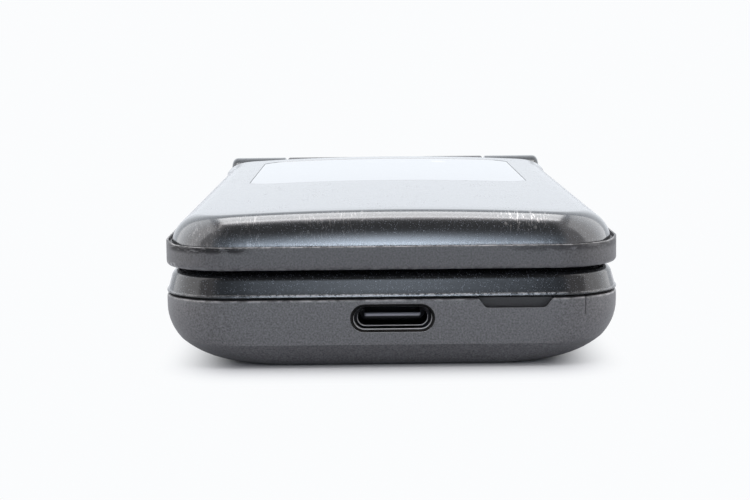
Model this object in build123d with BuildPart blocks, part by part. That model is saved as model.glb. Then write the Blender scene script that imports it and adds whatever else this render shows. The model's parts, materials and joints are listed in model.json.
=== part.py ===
from build123d import *
import math
import os

# A clamshell flip phone, closed and lying on its back. Millimetres, +Z up. The charging port
# faces -Y and the hinge runs along X at the +Y end. The origin is under the middle of the
# phone, on the surface that it lies on.

# Overall form
width = 55.0
length = 106.0
corner_radius = 8.3
corner_chords = 3
smallest_corner = 0.4

# Rear cover: a bowl whose long sides sweep up far more softly than its two ends
cover_height = 8.3
cover_wall = 1.0
cover_floor = 1.2
side_sweep = 8.5
side_rise = 6.8
end_sweep = 3.0
end_rise = 2.8
outer_sweep_bands = 6
inner_sweep_bands = 3
cover_edge_bevel = 0.15
cut_margin = 1.0

# Base housing: the bevelled upper half of the base, which carries the keys and the hinge ears
seam_gap = 0.2
rim_land = 0.35
rim_ledge_width = 0.15
bevel_bands = [(2.05, 16.0), (0.5, 52.0)]
deck_thickness = 0.8
housing_wall = 1.9
tongue_wall = 1.0
tongue_depth = 0.7

# Lid
lid_gap = 0.7
frame_height = 2.4
frame_wall = 2.6
frame_edge_bevel = 0.45
frame_skirt = 0.38
rim_ledge = 0.7
lid_cover_height = 4.1
lid_cover_wall = 1.4
crest_radius = 3.1
crown_radius = 400.0
lid_rear_corner = 2.5
crown_margin = 5.0

# Hinge
hinge_radius = 4.8
hinge_above_deck = 1.9
hinge_gap = 0.3
ear_inner_inset = 10.3
ear_side_inset = 1.1
ear_corner = 6.0
ear_edge_chamfer = 0.6
barrel_gap = 0.4
web_height = 4.9
cradle_lip = 0.35
cartridge_radius = 3.0
cartridge_flat = 2.5
cartridge_length = 13.4
shaft_radius = 1.5
shaft_reach = 8.0
shaft_head_radius = 2.8
shaft_head_flat = 2.0
shaft_head_length = 5.0
bush_radius = 2.95
bush_bore = 2.2
bush_in_ear = 3.0
bush_in_barrel = 4.6
flex_chamber_end = 4.0
ear_end_wall = 1.6
flex_roll_radius = 1.6
flex_thickness = 0.25
flex_width = 4.0
flex_end_x = 8.0
flex_landing_reach = 10.3
flex_passage = (4.6, 0.9)

# Fits
slide_clearance = 0.15
loose_clearance = 0.3
running_clearance = 0.06
fixed_clearance = 0.05

# Charging port
port_width = 10.1
port_height = 3.3
port_drop = 2.35
port_bevel = 0.3
usb_shell_width = 8.94
usb_shell_height = 3.26
usb_shell_wall = 0.32
usb_shell_length = 7.3
usb_shell_setback = 0.3
usb_tongue_width = 6.69
usb_tongue_thickness = 0.7
usb_tongue_length = 5.2
usb_tongue_setback = 0.7
usb_tongue_chamfer = 0.14
socket_clearance = 0.1

# Pry notch and relief slit in the rim of the rear cover
notch_x = 14.6
notch_width = 9.0
notch_foot = 7.3
notch_depth = 1.2
notch_corner = 0.5
slit_x = 23.0
slit_width = 0.15
slit_depth = 2.2
notch_reach = 3.0

# Keypad: number keys in a grid, a row of call keys, and a ring with two keys at each side
key_rows = 4
key_columns = 3
keypad_side_inset = 3.5
key_gap_x = 1.2
key_gap_y = 1.5
key_corner = 1.2
key_stand = 0.35
key_edge_chamfer = 0.25
key_flange = 0.35
key_flange_thickness = 0.4
key_flange_gap = 0.2
key_travel = 0.3
key_plunger_radius = 1.5
plunger_sides = 4
last_row_from_front = 11.1
call_key_height = 7.6
call_row_gap = 2.85
ring_from_hinge = 26.6
ring_gap = 3.5
ring_radius = 11.4
ring_bore = 5.3
ring_flange_drop = 0.15
ring_tilt_radius = 8.3
ok_radius = 4.8
side_key_size = (10.4, 8.2)
side_key_side_inset = 3.1
side_key_row_shifts = (6.6, -5.8)
dome_radius = 2.1
dome_height = 0.35
dome_film = 0.15
dome_sides = 4
dome_lean = 65.0
dome_film_inset = 0.5
ring_sides = 24
ring_dome_count = 4
ok_sides = 20

# Inside the base
inner_gap = 0.3
board_thickness = 0.8
board_side_inset = 3.3
board_front_inset = 2.6
board_from_hinge = 6.4
board_corner = 3.4
battery_thickness = 5.0
battery_side_inset = 10.5
battery_front_inset = 15.0
battery_end_gap = 0.2
battery_edge = 0.8
contact_block = (9.0, 2.6, 3.4)
contact_blade = (1.2, 0.3, 2.0)
contact_pitch = 2.6
contact_count = 3
contact_bay_margin = 0.9
bay_headroom = 0.2
screw_radius = 0.8
screw_head_radius = 1.25
screw_head_height = 0.9
screw_web = 3.6
screw_engagement = 1.6
screw_boss_radius = 1.7
post_sides = 6
pad_sides = 8
coin_sides = 16
case_screw_side_insets = (10.5, 8.1, 8.6)
front_screw_inset = 3.8
middle_screw_shift = 6.3
rear_screw_from_hinge = 2.4
speaker_size = (15.0, 11.0, 3.4)
speaker_x = 0.5
speaker_from_hinge = 10.8
speaker_edge = 1.0
motor_radius = 5.0
motor_height = 2.7
motor_side_inset = 12.3
motor_from_hinge = 11.2
microphone_radius = 1.5
microphone_height = 1.1
microphone_from_front = 4.4
sound_hole_radius = 0.5
jack_bore = 1.8
jack_bore_depth = 11.5
jack_from_hinge = 9.8
jack_body = (12.4, 5.8, 4.9)
jack_nose_radius = 2.3
jack_nose_length = 1.6
jack_nose_side_inset = 3.5
jack_drop = 3.15
jack_hole_radius = 2.6
bay_side_inset = 8.5
bay_length = 16.8
bay_from_hinge = 27.2
sim_size = (15.5, 13.0, 1.3)
card_size = (14.4, 13.0, 1.3)
socket_gap = 1.2
socket_wall = 0.25
shield_size = (17.0, 7.6, 1.4)
shield_x = 9.6
shield_from_hinge = 11.2
shield_wall = 0.2
grille_slot = (1.0, 8.0)
slot_clip = 0.35
grille_pitch = 2.2
grille_count = 5

# Side keys, in notches of the rear cover's rim
rocker_length = 17.0
rocker_from_hinge = 28.8
lock_key_length = 9.0
lock_key_from_hinge = 35.8
side_button_height = 1.7
side_button_stand = 0.5
side_button_depth = 2.2
side_button_gap = 0.2
side_button_corner = 0.6
side_button_travel = 0.3
side_notch_reach = 2.0
side_tongue_reach = 3.0
button_flange_depth = 0.55
button_flange_lip = 0.4
button_post_radius = 0.4
button_pocket_margin = 0.8
carrier_gap = 0.45

# Inside the lid
face_thickness = 0.8
face_margin = 1.3
window_thickness = 0.5
window_side_inset = 3.5
window_front_inset = 9.5
window_rear_inset = 12.2
window_corner = 3.0
display_thickness = 2.2
display_side_inset = 0.75
display_front_inset = 5.5
display_rear_inset = 4.0
display_bezel = (1.65, 3.2)
earpiece_size = (13.0, 6.0, 2.2)
earpiece_from_front = 6.6
earpiece_slot = (9.0, 1.2)
earpiece_slot_from_front = 5.6
lid_board_thickness = 0.6
lid_board_side_inset = 6.0
lid_board_front_inset = 8.9
lid_board_rear_inset = 7.3
lid_rib_height = 0.8
lid_rib_wall = 0.9
lid_block_length = 4.6
outer_window_side_inset = 7.5
outer_window_length = 44.0
outer_window_thickness = 0.8
outer_window_rear_inset = 6.2
outer_window_corner = 4.0
outer_window_ledge = 2.0
outer_display_side_inset = 4.0
outer_display_length = 27.0
outer_display_thickness = 1.1
outer_display_shift = -4.0
camera_shift = 15.6
camera_body = (8.4, 6.4, 3.4)
camera_lens_radius = 2.6
camera_lens_height = 1.2
flash_x = 8.5
flash_size = (3.0, 3.0, 1.0)
bumper_radius = 1.9
bumper_inset = 0.2
bumper_gap = 0.12
lid_screw_side_insets = (7.9, 6.1)
lid_screw_front_inset = 4.1
lid_screw_rear_inset = 3.8
lid_boss_radius = 1.9
lid_post_radius = 1.6
lid_screw_cap = 0.35
bumper_edge = 0.2

# Levels and lines that follow from the sizes
half_width = width / 2
half_length = length / 2
housing_height = rim_land + sum(band_height for band_height, lean in bevel_bands)
rim_z = cover_height + seam_gap
deck_z = rim_z + housing_height
deck_under_z = deck_z - deck_thickness
tongue_z = rim_z - tongue_depth
lid_face_z = deck_z + lid_gap
skirt_z = lid_face_z - frame_skirt
ledge_z = lid_face_z + frame_height
lid_top_z = ledge_z + lid_cover_height
hinge_y = half_length - hinge_radius
hinge_z = deck_z + hinge_above_deck
ear_inner = half_width - ear_inner_inset
lid_end_y = hinge_y - hinge_radius - barrel_gap
lid_block_y = lid_end_y - lid_block_length
cradle_radius = hinge_radius + hinge_gap
barrel_end_x = ear_inner - barrel_gap
ear_outer = half_width - ear_side_inset
flex_start_x = -ear_outer + ear_end_wall + loose_clearance
port_z = cover_height - port_drop
jack_z = cover_height - jack_drop
board_top_z = port_z + usb_shell_height / 2 + board_thickness + socket_clearance
board_z = board_top_z - board_thickness
chassis_z = cover_floor + inner_gap
bay_roof_z = chassis_z + battery_thickness + bay_headroom
key_top_z = deck_z + key_stand
flange_top_z = deck_under_z - key_flange_gap
flange_z = flange_top_z - key_flange_thickness
dome_top_z = board_top_z + dome_film + dome_height
plunger_z = dome_top_z + key_travel + fixed_clearance
face_top_z = lid_face_z + face_thickness
stack_z = face_top_z + fixed_clearance
lid_board_z = stack_z + display_thickness + fixed_clearance
lid_board_top_z = lid_board_z + lid_board_thickness

# The keypad's rows and columns share the room between the ring and the front
ring_y = hinge_y - ring_from_hinge
call_row_y = ring_y - ring_radius - ring_gap - call_key_height / 2
last_row_y = last_row_from_front - half_length
first_row_edge_y = call_row_y - call_key_height / 2 - call_row_gap
key_pitch_y = (first_row_edge_y + key_gap_y / 2 - last_row_y) / (key_rows - 0.5)
key_size = (
    (2 * (half_width - keypad_side_inset) + key_gap_x) / key_columns - key_gap_x,
    key_pitch_y - key_gap_y,
)
key_pitch_x = key_size[0] + key_gap_x
side_key_x = half_width - side_key_side_inset - side_key_size[0] / 2
side_key_rows = [ring_y + shift for shift in side_key_row_shifts]

# Places inside the base
board_half_width = half_width - board_side_inset
board_front_y = board_front_inset - half_length
board_end_y = hinge_y - board_from_hinge
socket_bay = (2 * (half_width - bay_side_inset), bay_length)
socket_bay_y = hinge_y - bay_from_hinge
battery_front_y = battery_front_inset - half_length
battery_end_y = socket_bay_y - bay_length / 2 - battery_end_gap
battery_size = (
    2 * (half_width - battery_side_inset),
    battery_end_y - battery_front_y,
    battery_thickness,
)
battery_y = (battery_front_y + battery_end_y) / 2
case_screw_rows = (front_screw_inset - half_length, call_row_y + middle_screw_shift,
                   hinge_y - rear_screw_from_hinge)
case_screw_places = [(half_width - inset, y) for inset, y in zip(case_screw_side_insets, case_screw_rows)]
speaker_place = (speaker_x, hinge_y - speaker_from_hinge)
motor_place = (half_width - motor_side_inset, hinge_y - motor_from_hinge)
microphone_y = microphone_from_front - half_length
jack_y = hinge_y - jack_from_hinge
jack_nose_x = half_width - jack_nose_side_inset
shield_place = (shield_x, hinge_y - shield_from_hinge)
flex_landing_y = hinge_y - flex_landing_reach
rocker_y = hinge_y - rocker_from_hinge
lock_key_y = hinge_y - lock_key_from_hinge

# Places inside the lid
window_ends = (window_front_inset - half_length, lid_end_y - window_rear_inset)
window_size = (2 * (half_width - window_side_inset), window_ends[1] - window_ends[0], window_thickness)
window_y = sum(window_ends) / 2
display_ends = (window_ends[0] + display_front_inset, window_ends[1] - display_rear_inset)
display_size = (window_size[0] - 2 * display_side_inset, display_ends[1] - display_ends[0], display_thickness)
display_y = sum(display_ends) / 2
display_view = (display_size[0] - 2 * display_bezel[0], display_size[1] - 2 * display_bezel[1])
earpiece_y = earpiece_from_front - half_length
earpiece_slot_y = earpiece_slot_from_front - half_length
lid_board_ends = (lid_board_front_inset - half_length, lid_end_y - lid_board_rear_inset)
lid_board_size = (
    2 * (half_width - lid_board_side_inset),
    lid_board_ends[1] - lid_board_ends[0],
    lid_board_thickness,
)
lid_board_y = sum(lid_board_ends) / 2
outer_window_size = (2 * (half_width - outer_window_side_inset), outer_window_length)
outer_window_y = lid_end_y - outer_window_rear_inset - outer_window_length / 2
outer_display_size = (
    outer_window_size[0] - 2 * outer_display_side_inset,
    outer_display_length,
    outer_display_thickness,
)
outer_display_y = outer_window_y + outer_display_shift
camera_y = outer_window_y + camera_shift
lid_screw_rows = (lid_screw_front_inset - half_length, lid_end_y - lid_screw_rear_inset)
lid_screw_places = [(half_width - inset, y) for inset, y in zip(lid_screw_side_insets, lid_screw_rows)]

HINGE_PLANE = Plane.YZ
hinge_centre = (hinge_y, hinge_z)


def slab(size, centre, low, corner=0.0, clip=0.0, mode=Mode.ADD):
    """An upright block of size (x, y, z) round a centre (x, y), standing at the height low. Its upright
    edges are rounded by corner or clipped by clip."""
    with BuildSketch(Plane.XY.offset(low)) as profile:
        with Locations(centre):
            if corner:
                RectangleRounded(size[0], size[1], corner)
            else:
                Rectangle(size[0], size[1])
        if clip:
            chamfer(profile.vertices(), clip)
    extrude(profile.sketch, amount=size[2], mode=mode)


def disc(radius, centres, low, height, mode=Mode.ADD):
    """Upright cylinders of one radius at one or more centres (x, y), standing at the height low."""
    with BuildSketch(Plane.XY.offset(low)) as profile:
        with Locations(centres):
            Circle(radius)
    extrude(profile.sketch, amount=height, mode=mode)


def post(radius, centres, low, height, sides=0, mode=Mode.ADD):
    """Like disc, for small repeated round things: a post with flat sides in place of a cylinder."""
    with BuildSketch(Plane.XY.offset(low)) as profile:
        with Locations(centres):
            RegularPolygon(radius, sides or post_sides)
    extrude(profile.sketch, amount=height, mode=mode)


def axle(radius, start, end, mode=Mode.ADD, flat=None):
    """A round bar along the hinge axis from x = start to x = end, with two flats if one is given."""
    with BuildSketch(HINGE_PLANE.offset(start)) as profile:
        with Locations(hinge_centre):
            Circle(radius)
            if flat:
                Rectangle(2 * radius, 2 * flat, mode=Mode.INTERSECT)
    extrude(profile.sketch, amount=end - start, mode=mode)


def both_sides(places):
    """The places given for the right side, and the same places on the left."""
    return [(side * x, y) for x, y in places for side in (1, -1)]


def chorded(side_x, front_y, rear_y, front_radius, rear_radius):
    """The points of an outline out of sight, such as an inner wall's: its round corners are chords."""
    corners = (
        (side_x, rear_y, rear_radius),
        (-side_x, rear_y, rear_radius),
        (-side_x, front_y, front_radius),
        (side_x, front_y, front_radius),
    )
    points = []
    for quarter, (corner_x, corner_y, radius) in enumerate(corners):
        centre_x = corner_x - math.copysign(radius, corner_x)
        centre_y = corner_y - math.copysign(radius, corner_y)
        for step in range(corner_chords + 1):
            angle = math.pi / 2 * (quarter + step / corner_chords)
            points.append((centre_x + radius * math.cos(angle), centre_y + radius * math.sin(angle)))
    return points


def plan_outline(low, inset, height, taper=0.0, mode=Mode.ADD):
    """The base's rounded outline, taken in by inset and raised from low. Its walls can lean in by taper."""
    with BuildSketch(Plane.XY.offset(low)) as profile:
        RectangleRounded(width - 2 * inset, length - 2 * inset, corner_radius - inset)
    extrude(profile.sketch, amount=height, taper=taper, mode=mode)


def inner_plan(low, inset, height, mode=Mode.ADD):
    """The same outline for an inner wall, with chords at its corners."""
    radius = corner_radius - inset
    with BuildSketch(Plane.XY.offset(low)) as profile:
        Polygon(
            *chorded(half_width - inset, inset - half_length, half_length - inset, radius, radius),
            align=None,
        )
    extrude(profile.sketch, amount=height, mode=mode)


def lid_outline(low, inset, height, mode=Mode.ADD):
    """The lid's outline, which follows the base's at the front and ends square before the hinge."""
    span = lid_end_y + half_length
    with BuildSketch(Plane.XY.offset(low)) as outline:
        with Locations((0, lid_end_y - span / 2)):
            Rectangle(width - 2 * inset, span - 2 * inset)
        corners = outline.vertices().group_by(Axis.Y)
        fillet(corners[0], corner_radius - inset)
        fillet(corners[-1], max(lid_rear_corner - inset, smallest_corner))
    extrude(outline.sketch, amount=height, mode=mode)


def lid_inner_plan(low, inset, height, mode=Mode.ADD):
    """The lid's outline for an inner wall, with chords at its corners."""
    rear_radius = max(lid_rear_corner - inset, smallest_corner)
    with BuildSketch(Plane.XY.offset(low)) as outline:
        Polygon(
            *chorded(
                half_width - inset,
                inset - half_length,
                lid_end_y - inset,
                corner_radius - inset,
                rear_radius,
            ),
            align=None,
        )
    extrude(outline.sketch, amount=height, mode=mode)


def bowl(wall, floor, bands):
    """The rear cover's sweep, taken in by a wall, as a stack of ruled bands. Both curves are quarter
    ellipses: the long sides rise over side_rise and the ends over end_rise. Half of the bands and
    the odd one lie below the height where the ends stand upright. Only the outside has true arcs at
    its corners."""
    knee = math.acos(1 - (end_rise - floor) / (side_rise - floor))
    low_bands = bands - bands // 2
    angles = [knee * step / low_bands for step in range(low_bands + 1)]
    angles += [knee + (math.pi / 2 - knee) * (step + 1) / (bands // 2) for step in range(bands // 2)]
    outlines = []
    for angle in angles:
        height = floor + (side_rise - floor) * (1 - math.cos(angle))
        side_inset = wall + (side_sweep - wall) * (1 - math.sin(angle))
        below = min(1.0, max(0.0, (end_rise - height) / (end_rise - floor)))
        end_inset = wall + (end_sweep - wall) * (1 - math.sqrt(1 - below**2))
        radius = corner_radius - wall
        reach_x = half_width - side_inset
        reach_y = half_length - end_inset
        with BuildSketch(Plane.XY.offset(height)) as outline:
            if wall:
                Polygon(*chorded(reach_x, -reach_y, reach_y, radius, radius), align=None)
            else:
                RectangleRounded(2 * reach_x, 2 * reach_y, radius)
        outlines.append(outline.sketch.face())
    loft(outlines, ruled=True)


def crown(top, mode=Mode.INTERSECT):
    """Keeps what lies under the lid's crown, a shallow arc across the width whose top is at a height."""
    reach = half_width + crown_margin
    drop = crown_radius - math.sqrt(crown_radius**2 - reach**2)
    foot = lid_face_z - cut_margin
    with BuildSketch(Plane.XZ.offset(-length)) as profile:
        with BuildLine():
            ThreePointArc((-reach, top - drop), (0, top), (reach, top - drop))
            Polyline((reach, top - drop), (reach, foot), (-reach, foot), (-reach, top - drop))
        make_face()
    extrude(profile.sketch, amount=2 * length, mode=mode)


def save(piece, name):
    """Names a finished piece and writes its STEP file."""
    piece.part.label = name
    export_step(piece.part, f"parts/{name}.step")


os.makedirs("parts", exist_ok=True)

# Rear cover. It is one moulded bowl with a cut-out for the charging port, a pry notch in its rim,
# notches for the side keys, a hole for the audio jack and slots for the loudspeaker.
with BuildPart() as cover_space:
    bowl(cover_wall, cover_floor, inner_sweep_bands)
    inner_plan(side_rise, cover_wall, cover_height - side_rise + cut_margin)

rocker_notch = (rocker_y, rocker_length)
lock_notch = (lock_key_y, lock_key_length)
button_z = cover_height - side_button_height - side_button_gap / 2
with BuildPart() as rear_cover:
    bowl(0.0, 0.0, outer_sweep_bands)
    plan_outline(side_rise, 0.0, cover_height - side_rise)
    outer_rim = rear_cover.edges().group_by(Axis.Z)[-1]
    chamfer(outer_rim, cover_edge_bevel)
    add(cover_space.part, mode=Mode.SUBTRACT)
    front = Plane.XZ.offset(half_length)
    with BuildSketch(front):
        with Locations((0, port_z)):
            SlotOverall(port_width, port_height)
    extrude(amount=-port_bevel, taper=45, mode=Mode.SUBTRACT)
    with BuildSketch(front):
        with Locations((0, port_z)):
            SlotOverall(port_width - 2 * port_bevel, port_height - 2 * port_bevel)
    extrude(amount=-(cover_wall + cut_margin), mode=Mode.SUBTRACT)
    with BuildSketch(front) as notch:
        with BuildLine():
            Polyline(
                (notch_x - notch_width / 2, cover_height),
                (notch_x - notch_foot / 2, cover_height - notch_depth),
                (notch_x + notch_foot / 2, cover_height - notch_depth),
                (notch_x + notch_width / 2, cover_height),
                close=True,
            )
        make_face()
        fillet(notch.vertices().group_by(Axis.Z)[0], notch_corner)
        with Locations((slit_x, cover_height - slit_depth / 2)):
            Rectangle(slit_width, slit_depth)
    extrude(amount=-notch_reach, mode=Mode.SUBTRACT)
    for side, (place, span) in ((-1, rocker_notch), (1, lock_notch)):
        slab(
            (2 * side_notch_reach, span + 2 * side_button_gap, cover_height),
            (side * half_width, place),
            button_z - side_button_gap,
            mode=Mode.SUBTRACT,
        )
    with BuildSketch(Plane.YZ.offset(-half_width)):
        with Locations((jack_y, jack_z)):
            Circle(jack_hole_radius)
    extrude(amount=half_width - jack_nose_x + cut_margin, mode=Mode.SUBTRACT)
    with BuildSketch(Plane.XY) as grille:
        with Locations(speaker_place):
            with GridLocations(grille_pitch, 0, grille_count, 1):
                Rectangle(*grille_slot)
        chamfer(grille.vertices(), slot_clip)
    extrude(amount=cover_floor, mode=Mode.SUBTRACT)
save(rear_cover, "rear_cover")

# Where the keys lie on the deck: name, centre and size of each rectangular one
number_names = [["1", "2", "3"], ["4", "5", "6"], ["7", "8", "9"], ["star", "0", "hash"]]
rect_keys = []
for row, names in enumerate(number_names):
    for column, name in enumerate(names):
        place = ((column - 1) * key_pitch_x, last_row_y + (key_rows - 1 - row) * key_pitch_y)
        rect_keys.append((f"key_{name}", place, key_size))
for column, name in enumerate(("call_key", "clear_key", "end_key")):
    place = ((column - 1) * key_pitch_x, call_row_y)
    rect_keys.append((name, place, (key_size[0], call_key_height)))
for side, names in ((-1, ("soft_key_left", "message_key")), (1, ("soft_key_right", "camera_key"))):
    for name, row_y in zip(names, side_key_rows):
        rect_keys.append((name, (side * side_key_x, row_y), side_key_size))

# One ear of the base, which holds an end of the hinge: a round eye that runs down into the housing
with BuildPart() as ear:
    with BuildSketch(HINGE_PLANE.offset(ear_inner)):
        with Locations(hinge_centre):
            Circle(hinge_radius)
        with Locations((hinge_y, hinge_z - hinge_radius / 2)):
            Rectangle(2 * hinge_radius, hinge_radius)
    extrude(amount=ear_outer - ear_inner)
    outer_edges = ear.faces().sort_by(Axis.X)[-1].edges()
    chamfer(outer_edges.sort_by(Axis.Z)[1:], ear_edge_chamfer)
    with BuildSketch(Plane.XY.offset(rim_z + rim_land)):
        RectangleRounded(2 * ear_outer, length, ear_corner)
    extrude(amount=lid_top_z, mode=Mode.INTERSECT)

# Base housing
with BuildPart() as base_housing:
    plan_outline(rim_z, 0.0, rim_land)
    band_z = rim_z + rim_land
    band_inset = rim_ledge_width
    for band_height, lean in bevel_bands:
        plan_outline(band_z, band_inset, band_height, taper=lean)
        band_z += band_height
        band_inset += band_height * math.tan(math.radians(lean))
    inner_plan(rim_z, housing_wall, deck_under_z - rim_z, mode=Mode.SUBTRACT)
    tongue_inset = cover_wall + slide_clearance
    inner_plan(tongue_z, tongue_inset, rim_z - tongue_z)
    inner_plan(tongue_z, tongue_inset + tongue_wall, rim_z - tongue_z, mode=Mode.SUBTRACT)
    add(ear.part)
    add(mirror(ear.part, about=Plane.YZ))
    for _, place, size in rect_keys:
        slab(
            (size[0] + 2 * slide_clearance, size[1] + 2 * slide_clearance, deck_thickness),
            place,
            deck_under_z,
            clip=key_corner,
            mode=Mode.SUBTRACT,
        )
    post(ring_radius + slide_clearance, (0, ring_y), deck_under_z, deck_thickness, ring_sides,
         Mode.SUBTRACT)
    post(sound_hole_radius, (0, microphone_y), deck_under_z, deck_thickness, mode=Mode.SUBTRACT)
    post(screw_boss_radius, both_sides(case_screw_places[:2]), board_top_z, deck_under_z - board_top_z)
    post(
        screw_radius + fixed_clearance,
        both_sides(case_screw_places),
        board_top_z,
        rim_z + screw_engagement - board_top_z,
        mode=Mode.SUBTRACT,
    )
    for side, (place, span) in ((-1, rocker_notch), (1, lock_notch)):
        slab(
            (2 * side_tongue_reach, span + 2 * button_flange_lip, rim_z - tongue_z),
            (side * half_width, place),
            tongue_z,
            mode=Mode.SUBTRACT,
        )
    axle(cradle_radius, -ear_inner, ear_inner, Mode.SUBTRACT)
    slab(
        (2 * ear_inner, 2 * cradle_radius, deck_z),
        (0, hinge_y + hinge_radius),
        rim_z + cradle_lip,
        mode=Mode.SUBTRACT,
    )
    axle(shaft_head_radius + fixed_clearance, ear_inner, ear_inner + shaft_head_length + slide_clearance,
         Mode.SUBTRACT, flat=shaft_head_flat + fixed_clearance)
    axle(bush_radius + fixed_clearance, flex_start_x - loose_clearance, -ear_inner, Mode.SUBTRACT)
    slab(
        (flex_width + 2 * loose_clearance, 2 * bush_radius, hinge_z - rim_z),
        (flex_start_x + flex_width / 2, hinge_y),
        rim_z,
        mode=Mode.SUBTRACT,
    )
save(base_housing, "base_housing")


def key_cap(size, place):
    """A rectangular key: a cap that stands in the deck, a flange that keeps it in and a plunger."""
    low = flange_z
    flanged = (size[0] + 2 * key_flange, size[1] + 2 * key_flange, key_flange_thickness)
    slab((size[0], size[1], key_top_z - low), place, low, clip=key_corner)
    slab(flanged, place, low)
    post(key_plunger_radius, place, plunger_z, low - plunger_z, plunger_sides)


# Keys. Each is a loose cap over its own dome.
for name, place, size in rect_keys:
    with BuildPart() as key:
        key_cap(size, place)
        chamfer(key.faces().sort_by(Axis.Z)[-1].edges(), key_edge_chamfer)
    save(key, name)

with BuildPart() as nav_ring:
    ring_flange_z = flange_z - ring_flange_drop
    post(ring_radius, (0, ring_y), ring_flange_z, key_top_z - ring_flange_z, ring_sides)
    post(ring_radius + key_flange, (0, ring_y), ring_flange_z, key_flange_thickness, ring_sides)
    post(ring_bore, (0, ring_y), ring_flange_z, key_top_z - ring_flange_z, ok_sides, Mode.SUBTRACT)
    ring_edges = nav_ring.faces().sort_by(Axis.Z)[-1].edges()
    chamfer(ring_edges, key_edge_chamfer)
    with BuildSketch(Plane.XY.offset(plunger_z)):
        with Locations((0, ring_y)):
            with PolarLocations(ring_tilt_radius, ring_dome_count):
                RegularPolygon(key_plunger_radius, plunger_sides)
    extrude(amount=ring_flange_z - plunger_z)
save(nav_ring, "nav_ring")

with BuildPart() as ok_key:
    post(ok_radius, (0, ring_y), flange_z, key_top_z - flange_z, ok_sides)
    chamfer(ok_key.faces().sort_by(Axis.Z)[-1].edges(), key_edge_chamfer)
    post(key_plunger_radius, (0, ring_y), plunger_z, flange_z - plunger_z, plunger_sides)
save(ok_key, "ok_key")

# Main board, with holes for the case screws
with BuildPart() as main_board:
    board_length = board_end_y - board_front_y
    slab(
        (2 * board_half_width, board_length, board_thickness),
        (0, board_front_y + board_length / 2),
        board_z,
        clip=board_corner,
    )
    post(
        screw_radius + slide_clearance,
        both_sides(case_screw_places[:2]),
        board_z,
        board_thickness,
        mode=Mode.SUBTRACT,
    )
save(main_board, "main_board")

# Dome sheet: a film on the board with one snap dome under each key and four under the ring
dome_places = [place for _, place, _ in rect_keys] + [(0, ring_y)]
with BuildPart() as dome_sheet:
    film_front = last_row_y - key_size[1] / 2
    film_end = side_key_rows[0] + side_key_size[1] / 2
    slab(
        (2 * side_key_x + side_key_size[0] - 2 * dome_film_inset, film_end - film_front, dome_film),
        (0, (film_front + film_end) / 2),
        board_top_z,
    )
    post(
        screw_boss_radius + loose_clearance,
        both_sides(case_screw_places[1:2]),
        board_top_z,
        dome_film,
        mode=Mode.SUBTRACT,
    )
    with BuildSketch(Plane.XY.offset(board_top_z + dome_film)):
        with Locations(dome_places):
            RegularPolygon(dome_radius, dome_sides)
        with Locations((0, ring_y)):
            with PolarLocations(ring_tilt_radius, ring_dome_count):
                RegularPolygon(dome_radius, dome_sides)
    extrude(amount=dome_height, taper=dome_lean)
save(dome_sheet, "dome_sheet")

# Charging socket: a metal shell under the front edge of the board, and the tongue inside it
shell_front = Plane.XZ.offset(half_length - cover_wall - usb_shell_setback)
with BuildPart() as usb_shell:
    with BuildSketch(shell_front):
        with Locations((0, port_z)):
            SlotOverall(usb_shell_width, usb_shell_height)
            SlotOverall(
                usb_shell_width - 2 * usb_shell_wall,
                usb_shell_height - 2 * usb_shell_wall,
                mode=Mode.SUBTRACT,
            )
    extrude(amount=-usb_shell_length)
save(usb_shell, "usb_shell")

with BuildPart() as usb_tongue:
    tongue_tip = shell_front.offset(-usb_tongue_setback)
    with BuildSketch(tongue_tip):
        with Locations((0, port_z)):
            Rectangle(usb_tongue_width, usb_tongue_thickness)
    extrude(amount=-usb_tongue_length)
    chamfer(usb_tongue.faces().sort_by(Axis.Y)[0].edges(), usb_tongue_chamfer)
    with BuildSketch(tongue_tip.offset(-usb_tongue_length)):
        with Locations((0, port_z)):
            SlotOverall(
                usb_shell_width - 2 * usb_shell_wall - fixed_clearance,
                usb_shell_height - 2 * usb_shell_wall - fixed_clearance,
            )
    extrude(amount=-(usb_shell_length - usb_tongue_setback - usb_tongue_length))
save(usb_tongue, "usb_tongue")

# Battery and its spring contacts
with BuildPart() as battery:
    slab(battery_size, (0, battery_y), chassis_z, clip=battery_edge)
save(battery, "battery")

contact_y = battery_front_y - contact_blade[1] - fixed_clearance - contact_block[1] / 2
with BuildPart() as battery_contacts:
    slab(contact_block, (0, contact_y), bay_roof_z - contact_block[2])
    with BuildSketch(Plane.XY.offset(bay_roof_z - contact_block[2] / 2 - contact_blade[2] / 2)):
        with Locations((0, battery_front_y - fixed_clearance - contact_blade[1] / 2)):
            with GridLocations(contact_pitch, 0, contact_count, 1):
                Rectangle(contact_blade[0], contact_blade[1])
    extrude(amount=contact_blade[2])
save(battery_contacts, "battery_contacts")


def card_cage(size, side):
    """A sheet-metal socket for a card, under the roof of its bay and open towards the battery."""
    centre = (side * (socket_gap + size[0]) / 2, socket_bay_y)
    low = bay_roof_z - size[2]
    slab(size, centre, low)
    slab(
        (size[0] - 2 * socket_wall, size[1], size[2] - 2 * socket_wall),
        (centre[0], centre[1] - socket_wall),
        low + socket_wall,
        mode=Mode.SUBTRACT,
    )


with BuildPart() as sim_socket:
    card_cage(sim_size, -1)
save(sim_socket, "sim_socket")

with BuildPart() as card_socket:
    card_cage(card_size, 1)
save(card_socket, "card_socket")

with BuildPart() as loudspeaker:
    slab(speaker_size, speaker_place, chassis_z, clip=speaker_edge)
save(loudspeaker, "loudspeaker")

with BuildPart() as vibration_motor:
    post(motor_radius, motor_place, chassis_z, motor_height, coin_sides)
save(vibration_motor, "vibration_motor")

with BuildPart() as microphone:
    post(microphone_radius, (0, microphone_y), board_top_z, microphone_height, pad_sides)
save(microphone, "microphone")

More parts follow.
